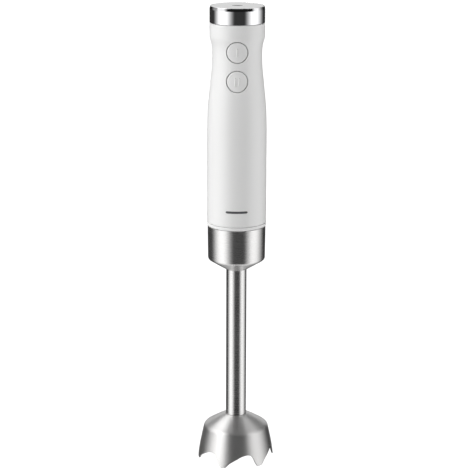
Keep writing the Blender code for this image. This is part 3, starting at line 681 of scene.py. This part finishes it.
def make_cup():
    collar = TUBE_RADIUS + GAP
    corner = 25.15
    wall = CUP_WALL * math.hypot(1, CONE_SLOPE)
    inner = corner - CUP_WALL
    return lathe("wand_cup_surface", [
        (collar, cone_height(collar), 0.3), (corner, cone_height(corner), 2.6), (CUP_RADIUS, CUP_TOP, 0.35),
        (CUP_RADIUS - CUP_WALL, CUP_TOP, 0.35), (inner, cone_height(inner) + wall, 1.4),
        (collar, cone_height(collar) + wall, 0.3),
    ], FINE)


def make_tube():
    inner = TUBE_RADIUS - 0.8
    return lathe("shaft_tube_surface", [
        (inner, 36.3, 0.2), (TUBE_RADIUS, 36.3, 0.2), (TUBE_RADIUS, 188.3, 0.2), (inner, 188.3, 0.2),
    ])


def skirt_radius(height):
    """Outer radius of the bell's flared skirt."""
    shoulder_radius, shoulder_height = BELL_SHOULDER
    flare = BELL_RADIUS - shoulder_radius
    return BELL_RADIUS - flare * (max(height, 0.0) / shoulder_height) ** SKIRT_POWER


def bell_outline(rim):
    """Section of the bell where its rim is at this height: up the outside, then down the inside."""
    neck = TUBE_RADIUS + GAP
    half = BELL_WALL / 2
    outside = [(skirt_radius(rim) - half, rim)]
    for inset, rise in edge_arc(half, (30, 60)):
        outside.append((skirt_radius(rim) - inset, rim + rise))
    start, end = rim + half, 28.0
    skirt_steps = 12
    for i in range(skirt_steps + 1):
        height = start + (end - start) * i / skirt_steps
        outside.append((skirt_radius(height), height))
    shoulder = [(29.05, 28.6), (28.95, 29.15), (28.75, 29.7), (28.4, 30.25), (27.9, 30.8), (27.2, 31.4),
                (26.4, 31.95), (25.5, 32.5)]
    dome = [(24.0, 33.4), (22.0, 34.65), (20.0, 35.9), (17.5, 37.4), (14.6, 39.0), (11.8, 40.35),
            (10.2, 41.0), (9.6, 41.15), (neck, 41.0)]
    inside = [(neck, 40.0), (11.8, 39.2), (17.0, 36.4), (21.6, 33.5), (25.1, 31.3), (26.4, 30.5),
              (27.1, 29.8), (27.5, 28.9), (skirt_radius(end) - BELL_WALL, end)]
    inner_steps = 6
    for i in range(1, inner_steps + 1):
        height = end + (start - end) * i / inner_steps
        inside.append((skirt_radius(height) - BELL_WALL, height))
    for turn in (60, 30):
        inside.append((skirt_radius(rim) - half * (1 + math.sin(math.radians(turn))),
                       rim + half * (1 - math.cos(math.radians(turn)))))
    return outside + shoulder + dome + inside


def make_bell():
    """Bell guard with a smooth swirl-toothed rim, lofted from one section per angle."""
    shape = Shape()
    pitch = 360 / TEETH
    slices = []
    for column in range(BELL_COLUMNS):
        past = 360 * column / BELL_COLUMNS
        rim = smooth_value(RIM, past % pitch)
        angle = math.radians(FIRST_TOOTH + past)
        slices.append(shape.add_ring([
            (radius * math.sin(angle), -radius * math.cos(angle), height)
            for radius, height in bell_outline(rim)
        ]))
    shape.bridge_all(slices, closed_path=True)
    return shape.make("bell_guard_surface")


def wing_section(radius):
    """Bevelled section across a wing at this radius, as (y, z) points."""
    half = WING_HALF_WIDTH - WING_TAPER * max(radius - WING_TAPER_START, 0.0)
    if radius > WING_TIP_START:
        half -= WING_TIP_CURVE * (radius - WING_TIP_START) ** 2
    flat = (-half + WING_BEVEL, half - WING_EDGE_BEVEL)
    return [
        (-half, 0), (flat[0], WING_HALF_THICKNESS), (flat[1], WING_HALF_THICKNESS), (half, WING_EDGE_HALF),
        (half, -WING_EDGE_HALF), (flat[1], -WING_HALF_THICKNESS), (flat[0], -WING_HALF_THICKNESS),
    ]


def make_blade():
    """Cutter of four bevelled wings: one pair curves up, the other down."""
    shape = Shape()
    shape.turn(rounded_outline([
        (DRIVE_BORE, 16.6, 0.1), (6.5, 16.6, 0.2), (6.5, 18.4, 0.2), (DRIVE_BORE, 18.4, 0.1),
    ]), SMALL)
    for wing in range(WINGS):
        turn = Matrix.Rotation(math.radians(FIRST_WING + 360 / WINGS * wing), 3, "Z")
        slope = WING_BEND_SLOPE if wing % 2 == 0 else -WING_BEND_SLOPE
        slices = []
        for i in range(WING_STEPS + 1):
            radius = WING_START + WING_LENGTH * i / WING_STEPS
            past = max(radius - WING_BEND_START, 0.0)
            lift = slope * (past - WING_BEND_EASE * (1 - math.exp(-past / WING_BEND_EASE)))
            slices.append(shape.add_ring([
                turn @ Vector((radius, y, WING_HEIGHT + z + lift)) for y, z in wing_section(radius)
            ]))
        shape.bridge_all(slices)
        shape.close_ends(slices)
    return shape.make("blade_surface")


def make_drive_shaft():
    return lathe("drive_shaft_surface", [
        (0, 12.6, 0), (3.0, 12.6, 0.5), (3.0, 197.6, 0.4), (0, 197.6, 0),
    ], SMALL)


def make_blade_hub():
    return lathe("blade_hub_surface", [
        (DRIVE_BORE, 18.8, 0.2), (5.6, 18.8, 0.3), (5.6, 21.4, 0.3), (4.9, 21.9, 0.2), (4.9, 24.1, 0.2),
        (5.6, 24.6, 0.3), (5.6, 27.2, 0.3), (DRIVE_BORE, 27.2, 0.2),
    ], SMALL)


def make_blade_clip():
    return lathe("blade_clip_surface", [
        (DRIVE_BORE, 14.2, 0.2), (4.4, 14.2, 0.4), (5.0, 15.0, 0.2), (5.0, 16.2, 0.25),
        (DRIVE_BORE, 16.2, 0.2),
    ], SMALL)


def make_bell_hub():
    return lathe("bell_hub_surface", [
        (6.3, 31.0, 0.3), (11.5, 31.0, 0.8), (11.5, 35.9, 0.5), (7.9, 35.9, 0.3), (7.9, 44.0, 0.3),
        (6.3, 44.0, 0.2),
    ])


def make_shaft_seal():
    return lathe("shaft_seal_surface", [
        (DRIVE_BORE, 27.8, 0.15), (4.2, 27.8, 0.3), (4.8, 28.6, 0.3), (6.0, 27.8, 0.3), (10.5, 29.2, 0.4),
        (10.5, 30.7, 0.3), (DRIVE_BORE, 30.7, 0.2),
    ])


# ---------------------------------------------------------------- twist lock

def ring_section(radius, height, half, steps):
    """Round section of a rubber ring."""
    return [(radius + half * math.cos(a), height + half * math.sin(a), 0) for a in even_angles(steps)]


def make_nose_ring():
    return lathe("nose_o_ring_surface", ring_section(19.15, 212.0, 0.75, 16))


def make_nose():
    """Stub with softened edges, a seal groove and three L-shaped lug slots."""
    nose = lathe("bayonet_nose_surface", [
        (15.8, 199.0, 0.3), (NOSE_RADIUS, 199.0, 0.8), (NOSE_RADIUS, 210.8, 0.2), (18.2, 210.8, 0.2),
        (18.2, 213.2, 0.2), (NOSE_RADIUS, 213.2, 0.2), (NOSE_RADIUS, HOUSING_BOTTOM, 0.1),
        (23.3, HOUSING_BOTTOM, 0.2), (23.3, 224.3, 0.2), (7.5, 224.3, 0.2), (7.5, 221.2, 0.3),
        (15.8, 221.2, 0.6),
    ])
    cutters = []
    for angle in LUG_ANGLES:
        low = angle - LUG_HALF_ANGLE - SLOT_PLAY
        high = angle + LUG_HALF_ANGLE + SLOT_PLAY
        entry = (198.0, LUG_BOTTOM + 1, 17.3, 22, low, high)
        run = (LUG_BOTTOM - 0.5, LUG_TOP + 0.5, 17.4, 21, low - 1, high + SLOT_TURN)
        for bottom, top, inner, outer, start, end in (entry, run):
            shape = Shape()
            add_sector(shape, inner, outer, bottom, top, start, end)
            cutters.append(shape.make("cut_nose"))
    return carve(nose, cutters)


def make_cup_insert():
    """Plastic liner of the cup with three rounded lugs."""
    shape = Shape()
    bore = TUBE_RADIUS + GAP
    shape.turn(rounded_outline([
        (bore, 183.5, 0.2), (12.5, 183.5, 0.4), (12.5, 189.6, 0.3), (23.65, 189.6, 0.8), (23.65, 216.4, 0.4),
        (INSERT_BORE, 216.4, 0.8), (INSERT_BORE, 192.4, 0.8), (bore, 192.4, 0.3),
    ]), ROUND)
    for angle in LUG_ANGLES:
        start, end = angle - LUG_HALF_ANGLE, angle + LUG_HALF_ANGLE
        add_sector(shape, LUG_INNER, INSERT_BORE + 0.6, LUG_BOTTOM, LUG_TOP, start, end)
    return shape.make("cup_insert_surface")


def make_coupling(name, bore, bottom, top, dog_bottom, dog_top, first):
    """Hub with three driving dogs on its face."""
    shape = Shape()
    shape.turn(rounded_outline([
        (bore, bottom, 0.2), (COUPLING_RADIUS, bottom, 0.5), (COUPLING_RADIUS, top, 0.5), (bore, top, 0.2),
    ]), SMALL)
    for i in range(DOGS):
        middle = first + 360 / DOGS * i
        start, end = middle - DOG_HALF_ANGLE, middle + DOG_HALF_ANGLE
        add_sector(shape, DOG_INNER, DOG_OUTER, dog_bottom, dog_top, start, end)
    return shape.make(name)


def make_screw(side):
    """Pan-head screw with a cross recess in its underside."""
    x = side * SCREW_X
    shape = Shape()
    outline = rounded_outline([
        (0, SCREW_HEAD, 0), (2.5, SCREW_HEAD, 0.7), (2.5, SCREW_SEAT, 0.1), (1.5, SCREW_SEAT, 0.1),
        (1.5, SCREW_TIP, 0.4), (0, SCREW_TIP, 0),
    ], closed=False)
    shape.turn(outline, SMALL, lambda px, py, pz: (px + x, py, pz))
    screw = shape.make("nose_screw_surface_" + ("left" if side < 0 else "right"))
    cutters = []
    for long_x, long_y in ((RECESS_ARM, RECESS_HALF_WIDTH), (RECESS_HALF_WIDTH, RECESS_ARM)):
        shape = Shape()
        rings = [
            shape.add_ring([(x + i * long_x * scale, j * long_y * scale, height) for i, j in SQUARE])
            for height, scale in ((SCREW_HEAD - 1, 1.2), (SCREW_HEAD + 1.1, 0.75))
        ]
        shape.bridge_all(rings)
        shape.close_ends(rings)
        cutters.append(shape.make("cut_recess"))
    return carve(screw, cutters)


# ---------------------------------------------------------------- plain printed marks

def make_front_print():
    """Plain grey bar printed low on the handle's front."""
    shape = Shape()
    columns, rows = 24, 4
    rings = []
    for sink in (0.0, PRINT_THICKNESS):
        for row in range(rows + 1):
            v = row / rows * 2 - 1
            ring = []
            for column in range(columns + 1):
                u = column / columns * 2 - 1
                inset = PRINT_HALF_HEIGHT * (1 - math.sqrt(max(0.0, 1 - v * v)))
                x = u * (PRINT_HALF_WIDTH - inset)
                z = PRINT_HEIGHT + v * PRINT_HALF_HEIGHT
                ring.append((x, handle_front(x, z) - PRINT_LIFT + sink, z))
            rings.append(shape.add_ring(ring))
    for level in range(rows):
        shape.bridge(rings[level], rings[level + 1], closed=False)
    for level in range(rows + 1, 2 * rows + 1):
        shape.bridge(rings[level + 1], rings[level], closed=False)
    shape.bridge(rings[0], rings[rows + 1], closed=False)
    shape.bridge(rings[rows], rings[2 * rows + 1], closed=False)
    for side in (0, -1):
        for level in range(rows):
            shape.faces.append([rings[level][side], rings[level + 1][side], rings[rows + 2 + level][side],
                                rings[rows + 1 + level][side]])
    return shape.make("front_print")


def make_cap_inlay():
    """Plain dark oval inlay in the cap's disc."""
    shape = Shape()
    rings = []
    for scale, height in INLAY_RINGS:
        if scale == 0:
            rings.append(shape.add_ring([(0, 0, height)]))
            continue
        long, wide = INLAY_HALF_LENGTH * scale, INLAY_HALF_WIDTH * scale
        rings.append(shape.add_ring([
            (long * math.cos(a), wide * math.sin(a), height) for a in even_angles(SMALL)
        ]))
    shape.bridge_all(rings)
    return shape.make("cap_inlay")


# ---------------------------------------------------------------- materials

def add_node(tree, kind, settings=None, inputs=None):
    """Add a shader node; an input may be a value or another node's socket."""
    node = tree.nodes.new("ShaderNode" + kind)
    for name, value in (settings or {}).items():
        setattr(node, name, value)
    for name, value in (inputs or {}).items():
        if isinstance(value, bpy.types.NodeSocket):
            tree.links.new(value, node.inputs[name])
        else:
            node.inputs[name].default_value = value
    return node


def stretched_noise(tree, scale, detail=3.0, rough=0.55):
    """Noise in object space with its own number of cells per metre along each axis."""
    place = add_node(tree, "TexCoord")
    mapping = add_node(tree, "Mapping", inputs={"Vector": place.outputs["Object"], "Scale": scale})
    noise = add_node(tree, "TexNoise", inputs={
        "Vector": mapping.outputs["Vector"], "Scale": 1.0, "Detail": detail, "Roughness": rough,
    })
    return noise.outputs["Fac"]


def remap(tree, value, low, high):
    """Spread a noise value, which stays near 0.5, over a range."""
    node = add_node(tree, "MapRange", inputs={
        "Value": value, "From Min": 0.25, "From Max": 0.75, "To Min": low, "To Max": high,
    })
    return node.outputs["Result"]


def band_pattern(tree, axis, pitch):
    """Even ridges across an axis."""
    place = add_node(tree, "TexCoord")
    wave = add_node(tree, "TexWave", {"wave_type": "BANDS", "bands_direction": axis, "wave_profile": "SIN"}, {
        "Vector": place.outputs["Object"], "Scale": 2 * math.pi / (20 * pitch * MM), "Distortion": 0.3,
        "Detail": 1.0, "Detail Scale": 1.0,
    })
    return wave.outputs["Fac"]


def speckle(density):
    return (density, density, density)


AROUND = (40.0, 40.0, 4500.0)
WHITE = (0.89, 0.89, 0.885)
# (colour, metallic, roughness, grain per metre, spread of the colour, of the roughness, relief in mm)
FINISHES = {
    "housing": (WHITE, 0.0, 0.33, speckle(2200.0), 0.01, 0.03, 0.004),
    "trim": (WHITE, 0.0, 0.33, speckle(2200.0), 0.01, 0.03, 0.004),
    "buttons": ((0.88, 0.88, 0.875), 0.0, 0.36, speckle(2600.0), 0.01, 0.04, 0.006),
    "cap_chrome": ((0.78, 0.78, 0.79), 1.0, 0.07, (60.0, 60.0, 2500.0), 0.01, 0.02, 0.0006),
    "cap_satin": ((0.72, 0.72, 0.72), 1.0, 0.38, speckle(3500.0), 0.03, 0.05, 0.002),
    "steel": ((0.62, 0.615, 0.61), 1.0, 0.27, AROUND, 0.03, 0.05, 0.0006),
    "bell_steel": ((0.6, 0.595, 0.59), 1.0, 0.42, AROUND, 0.03, 0.05, 0.001),
    "blade_steel": ((0.62, 0.62, 0.62), 1.0, 0.3, (2500.0, 300.0, 300.0), 0.05, 0.08, 0.004),
    "shaft_steel": ((0.56, 0.56, 0.57), 1.0, 0.22, (80.0, 80.0, 5000.0), 0.04, 0.06, 0.003),
    "fasteners": ((0.5, 0.5, 0.52), 1.0, 0.3, speckle(1800.0), 0.1, 0.1, 0.01),
    "springs": ((0.52, 0.52, 0.54), 1.0, 0.25, speckle(2500.0), 0.08, 0.08, 0.006),
    "bearings": ((0.55, 0.55, 0.56), 1.0, 0.18, (60.0, 60.0, 4000.0), 0.05, 0.05, 0.003),
    "laminations": ((0.2, 0.2, 0.21), 1.0, 0.45, speckle(1500.0), 0.35, 0.1, 0.05),
    "windings": ((0.6, 0.24, 0.09), 1.0, 0.32, speckle(1800.0), 0.35, 0.1, 0.12),
    "commutator": ((0.75, 0.38, 0.2), 1.0, 0.28, (60.0, 60.0, 4000.0), 0.1, 0.08, 0.006),
    "bushes": ((0.58, 0.4, 0.2), 1.0, 0.42, speckle(2200.0), 0.15, 0.1, 0.012),
    "brush_holders": ((0.66, 0.5, 0.24), 1.0, 0.34, speckle(1600.0), 0.08, 0.08, 0.006),
    "carbon": ((0.03, 0.03, 0.032), 0.0, 0.6, speckle(2400.0), 0.4, 0.1, 0.02),
    "brackets": ((0.66, 0.66, 0.68), 1.0, 0.42, speckle(1400.0), 0.12, 0.1, 0.03),
    "heat_sink": ((0.6, 0.6, 0.62), 1.0, 0.4, (400.0, 400.0, 60.0), 0.1, 0.1, 0.015),
    "black_plastic": ((0.025, 0.025, 0.026), 0.0, 0.45, speckle(2200.0), 0.2, 0.08, 0.015),
    "fan": ((0.035, 0.035, 0.037), 0.0, 0.5, speckle(2000.0), 0.2, 0.08, 0.015),
    "grey_plastic": ((0.3, 0.31, 0.32), 0.0, 0.45, speckle(2200.0), 0.08, 0.08, 0.012),
    "rubber": ((0.018, 0.018, 0.018), 0.0, 0.68, speckle(1500.0), 0.3, 0.1, 0.03),
    "board": ((0.02, 0.16, 0.07), 0.0, 0.35, speckle(900.0), 0.25, 0.08, 0.03),
    "capacitor": ((0.04, 0.1, 0.34), 0.0, 0.38, speckle(1500.0), 0.08, 0.06, 0.01),
    "triac": ((0.03, 0.03, 0.03), 0.0, 0.52, speckle(3000.0), 0.2, 0.1, 0.012),
    "leads": ((0.45, 0.02, 0.02), 0.0, 0.42, speckle(1800.0), 0.1, 0.08, 0.01),
    "ink": ((0.09, 0.09, 0.095), 0.0, 0.5, speckle(2500.0), 0.15, 0.05, 0.003),
}
# Even ridges: (axis, pitch in mm)
RIDGES = {"laminations": ("Z", 0.5), "windings": ("Z", 0.55), "board": ("X", 2.4)}
EXTRA_SOCKETS = {
    "housing": {"Coat Weight": 0.25, "Coat Roughness": 0.12},
    "steel": {"Anisotropic": 0.85, "Anisotropic Rotation": 0.25},
    "bell_steel": {"Anisotropic": 0.95, "Anisotropic Rotation": 0.25},
}


def surface(name, colour, metallic, roughness, grain, shade, blur, bump):
    """Material with fine grain in its colour, roughness and relief, and broad uneven handling marks."""
    material = bpy.data.materials.new("look_" + name)
    material.use_nodes = True
    tree = material.node_tree
    shader = tree.nodes["Principled BSDF"]
    fine = stretched_noise(tree, grain)
    broad = stretched_noise(tree, (45.0, 45.0, 30.0), 2.0)
    relief = fine
    tone = fine
    if name in RIDGES:
        ridges = band_pattern(tree, *RIDGES[name])
        relief = add_node(tree, "Math", {"operation": "MULTIPLY_ADD"}, {0: ridges, 1: 1.0, 2: fine})
        relief = relief.outputs[0]
        tone = ridges
    dark = [channel * (1 - shade) for channel in colour]
    light = [min(1.0, channel * (1 + shade)) for channel in colour]
    mix = add_node(tree, "Mix", {"data_type": "RGBA"}, {
        "Factor": remap(tree, tone, 0.0, 1.0), "A": (*dark, 1.0), "B": (*light, 1.0),
    })
    tree.links.new(mix.outputs["Result"], shader.inputs["Base Color"])
    fine_blur = remap(tree, fine, -blur, blur)
    broad_blur = remap(tree, broad, roughness - blur / 2, roughness + blur / 2)
    total = add_node(tree, "Math", {"operation": "ADD", "use_clamp": True}, {0: fine_blur, 1: broad_blur})
    tree.links.new(total.outputs[0], shader.inputs["Roughness"])
    raised = add_node(tree, "Bump", inputs={"Height": relief, "Strength": 1.0, "Distance": bump * MM})
    tree.links.new(raised.outputs["Normal"], shader.inputs["Normal"])
    shader.inputs["Metallic"].default_value = metallic
    extras = EXTRA_SOCKETS.get(name, {})
    for socket, value in extras.items():
        shader.inputs[socket].default_value = value
    if "Anisotropic" in extras:
        tangent = add_node(tree, "Tangent", {"direction_type": "RADIAL", "axis": "Z"})
        tree.links.new(tangent.outputs["Tangent"], shader.inputs["Tangent"])
    return material


def make_materials():
    return {name: surface(name, *finish) for name, finish in FINISHES.items()}


def paint(obj, material):
    if not obj.material_slots:
        obj.data.materials.append(material)
    for place in obj.material_slots:
        place.material = material


def dress_cad_nodes(looks):
    """Give every CAD node the procedural material of its slot in the record."""
    for name, node in frame["nodes"].items():
        paint(node, looks[SLOTS[name]])


def replace_nodes(looks):
    """Make the detailed pieces and let each ride on the body of the CAD node it stands for."""
    pieces = [
        (make_housing(), "housing_shell", "handle"),
        (make_trim(), "lower_trim_ring", "handle"),
        (make_cap_ring(), "cap_ring", "handle"),
        (make_cap_disc(), "cap_disc", "handle"),
        (make_gland(), "cord_gland", "handle"),
        (make_cup(), "wand_cup", "wand"),
        (make_tube(), "shaft_tube", "wand"),
        (make_bell(), "bell_guard", "wand"),
        (make_bell_hub(), "bell_hub", "wand"),
        (make_shaft_seal(), "shaft_seal", "wand"),
        (make_cup_insert(), "cup_insert", "wand"),
        (make_blade(), "blade", "drive"),
        (make_blade_hub(), "blade_hub", "drive"),
        (make_blade_clip(), "blade_clip", "drive"),
        (make_drive_shaft(), "drive_shaft", "drive"),
        (make_coupling("shaft_coupling_surface", DRIVE_BORE, 190.0, 198.3, 197.5, 204.6, 60),
         "shaft_coupling", "drive"),
        (make_coupling("motor_coupling_surface", 2.9, 205.0, 214.0, 199.0, 206.0, 0),
         "motor_coupling", "armature"),
        (make_nose(), "bayonet_nose", "handle"),
        (make_screw(-1), "nose_screw_left", "handle"),
        (make_screw(1), "nose_screw_right", "handle"),
        (make_nose_ring(), "nose_o_ring", "nose_seal"),
    ]
    for label, height in BUTTON_HEIGHTS.items():
        pieces.append((make_button(label, height), "button_" + label, "button_" + label))
    for piece, node, body in pieces:
        paint(piece, looks["bell_steel" if node == "bell_guard" else SLOTS[node]])
        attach(piece, body)
        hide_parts(node)


def add_button_springs(looks):
    """Coil springs between the board and each button."""
    for label, height in BUTTON_HEIGHTS.items():
        node = "button_spring_" + label
        spring = make_button_spring(label, height)
        paint(spring, looks[SLOTS[node]])
        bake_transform(spring)
        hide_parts(node)


def add_printed_marks(looks):
    for piece in (make_front_print(), make_cap_inlay()):
        paint(piece, looks["ink"])
        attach(piece, "handle")


# ---------------------------------------------------------------- studio

def studio_panel(tree, azimuth, elevation, across, upright, strength):
    """Soft-edged patch of light in the world."""
    steps = []
    for value, (rise_from, rise_to, fall_from, fall_to) in ((azimuth, across), (elevation, upright)):
        for low, high, to_low, to_high in ((rise_from, rise_to, 0.0, 1.0), (fall_from, fall_to, 1.0, 0.0)):
            steps.append(add_node(tree, "MapRange", {"interpolation_type": "SMOOTHSTEP"}, {
                "Value": value, "From Min": math.radians(low), "From Max": math.radians(high),
                "To Min": to_low, "To Max": to_high,
            }).outputs["Result"])
    product = steps[0]
    for step in steps[1:]:
        product = add_node(tree, "Math", {"operation": "MULTIPLY"}, {0: product, 1: step}).outputs[0]
    return add_node(tree, "Math", {"operation": "MULTIPLY"}, {0: product, 1: strength}).outputs[0]


def make_world():
    """Soft lights around the object, painted by direction; the camera itself sees plain white."""
    world = bpy.data.worlds.new("studio")
    world.use_nodes = True
    tree = world.node_tree
    place = add_node(tree, "TexCoord")
    parts = add_node(tree, "SeparateXYZ", inputs={"Vector": place.outputs["Generated"]})
    back = add_node(tree, "Math", {"operation": "MULTIPLY"}, {0: parts.outputs["Y"], 1: -1.0})
    turn = add_node(tree, "Math", {"operation": "ARCTAN2"}, {0: parts.outputs["X"], 1: back.outputs[0]})
    azimuth = turn.outputs[0]
    aside = add_node(tree, "Math", {"operation": "ABSOLUTE"}, {0: azimuth}).outputs[0]
    elevation = add_node(tree, "Math", {"operation": "ARCSINE"}, {0: parts.outputs["Z"]}).outputs[0]
    panels = [studio_panel(tree, azimuth, elevation, *light) for light in SIDE_LIGHTS]
    panels += [studio_panel(tree, aside, elevation, *light) for light in ROOM_LIGHTS]
    total = add_node(tree, "Math", {"operation": "ADD"}, {0: panels[0], 1: ROOM_GLOW}).outputs[0]
    for panel in panels[1:]:
        total = add_node(tree, "Math", {"operation": "ADD"}, {0: total, 1: panel}).outputs[0]
    seen = add_node(tree, "LightPath").outputs["Is Camera Ray"]
    plain = add_node(tree, "Math", {"operation": "MAXIMUM"}, {0: total, 1: seen}).outputs[0]
    tree.links.new(plain, tree.nodes["Background"].inputs["Strength"])
    tree.nodes["Background"].inputs["Color"].default_value = (1.0, 1.0, 1.0, 1.0)
    bpy.context.scene.world = world


def make_shade():
    """Unseen dark disc just under the bell that keeps the light from below out of it."""
    shape = Shape()
    rings = [shape.add_ring([(0, 0, -SHADE_DROP)])]
    rings.append(shape.add_ring([
        (BELL_RADIUS * math.cos(a), BELL_RADIUS * math.sin(a), -SHADE_DROP) for a in even_angles(SMALL)
    ]))
    shape.bridge_all(rings)
    shade = shape.make("bell_shade")
    material = bpy.data.materials.new("shade_card")
    material.use_nodes = True
    material.node_tree.nodes["Principled BSDF"].inputs["Base Color"].default_value = (0.05, 0.05, 0.05, 1.0)
    shade.data.materials.append(material)
    shade.visible_camera = False


def make_floor():
    """White sheet that glows for the camera, is clear from below and doesn't show in the object."""
    mesh = bpy.data.meshes.new("floor")
    corners = [(x * FLOOR_HALF, y * FLOOR_HALF, -FLOOR_DROP) for x, y in SQUARE]
    mesh.from_pydata(corners, [], [(0, 1, 2, 3)])
    floor = bpy.data.objects.new("floor", mesh)
    bpy.context.scene.collection.objects.link(floor)
    material = bpy.data.materials.new("floor_sheet")
    material.use_nodes = True
    tree = material.node_tree
    shader = tree.nodes["Principled BSDF"]
    shader.inputs["Base Color"].default_value = (0.2, 0.2, 0.2, 1.0)
    shader.inputs["Roughness"].default_value = 0.9
    shader.inputs["Specular IOR Level"].default_value = 0.0
    shader.inputs["Emission Color"].default_value = (1.0, 1.0, 1.0, 1.0)
    shader.inputs["Emission Strength"].default_value = 0.96
    clear = add_node(tree, "BsdfTransparent")
    behind = add_node(tree, "NewGeometry").outputs["Backfacing"]
    mix = add_node(tree, "MixShader", inputs={0: behind, 1: shader.outputs[0], 2: clear.outputs[0]})
    tree.links.new(mix.outputs[0], tree.nodes["Material Output"].inputs["Surface"])
    mesh.materials.append(material)
    floor.visible_glossy = False
    floor.visible_diffuse = False


def make_camera():
    data = bpy.data.cameras.new("camera")
    data.sensor_width = 36.0
    data.lens = CAMERA_LENS
    camera = bpy.data.objects.new("camera", data)
    bpy.context.scene.collection.objects.link(camera)
    tilt = Matrix.Rotation(math.radians(CAMERA_TILT), 4, "X")
    roll = Matrix.Rotation(math.radians(CAMERA_ROLL), 4, "Z")
    camera.matrix_world = Matrix.Translation(CAMERA_PLACE) @ tilt @ roll
    bpy.context.scene.camera = camera


def main():
    looks = make_materials()
    dress_cad_nodes(looks)
    replace_nodes(looks)
    add_button_springs(looks)
    add_printed_marks(looks)
    make_world()
    make_floor()
    make_shade()
    make_camera()
    bpy.context.scene.view_settings.view_transform = "Standard"


main()
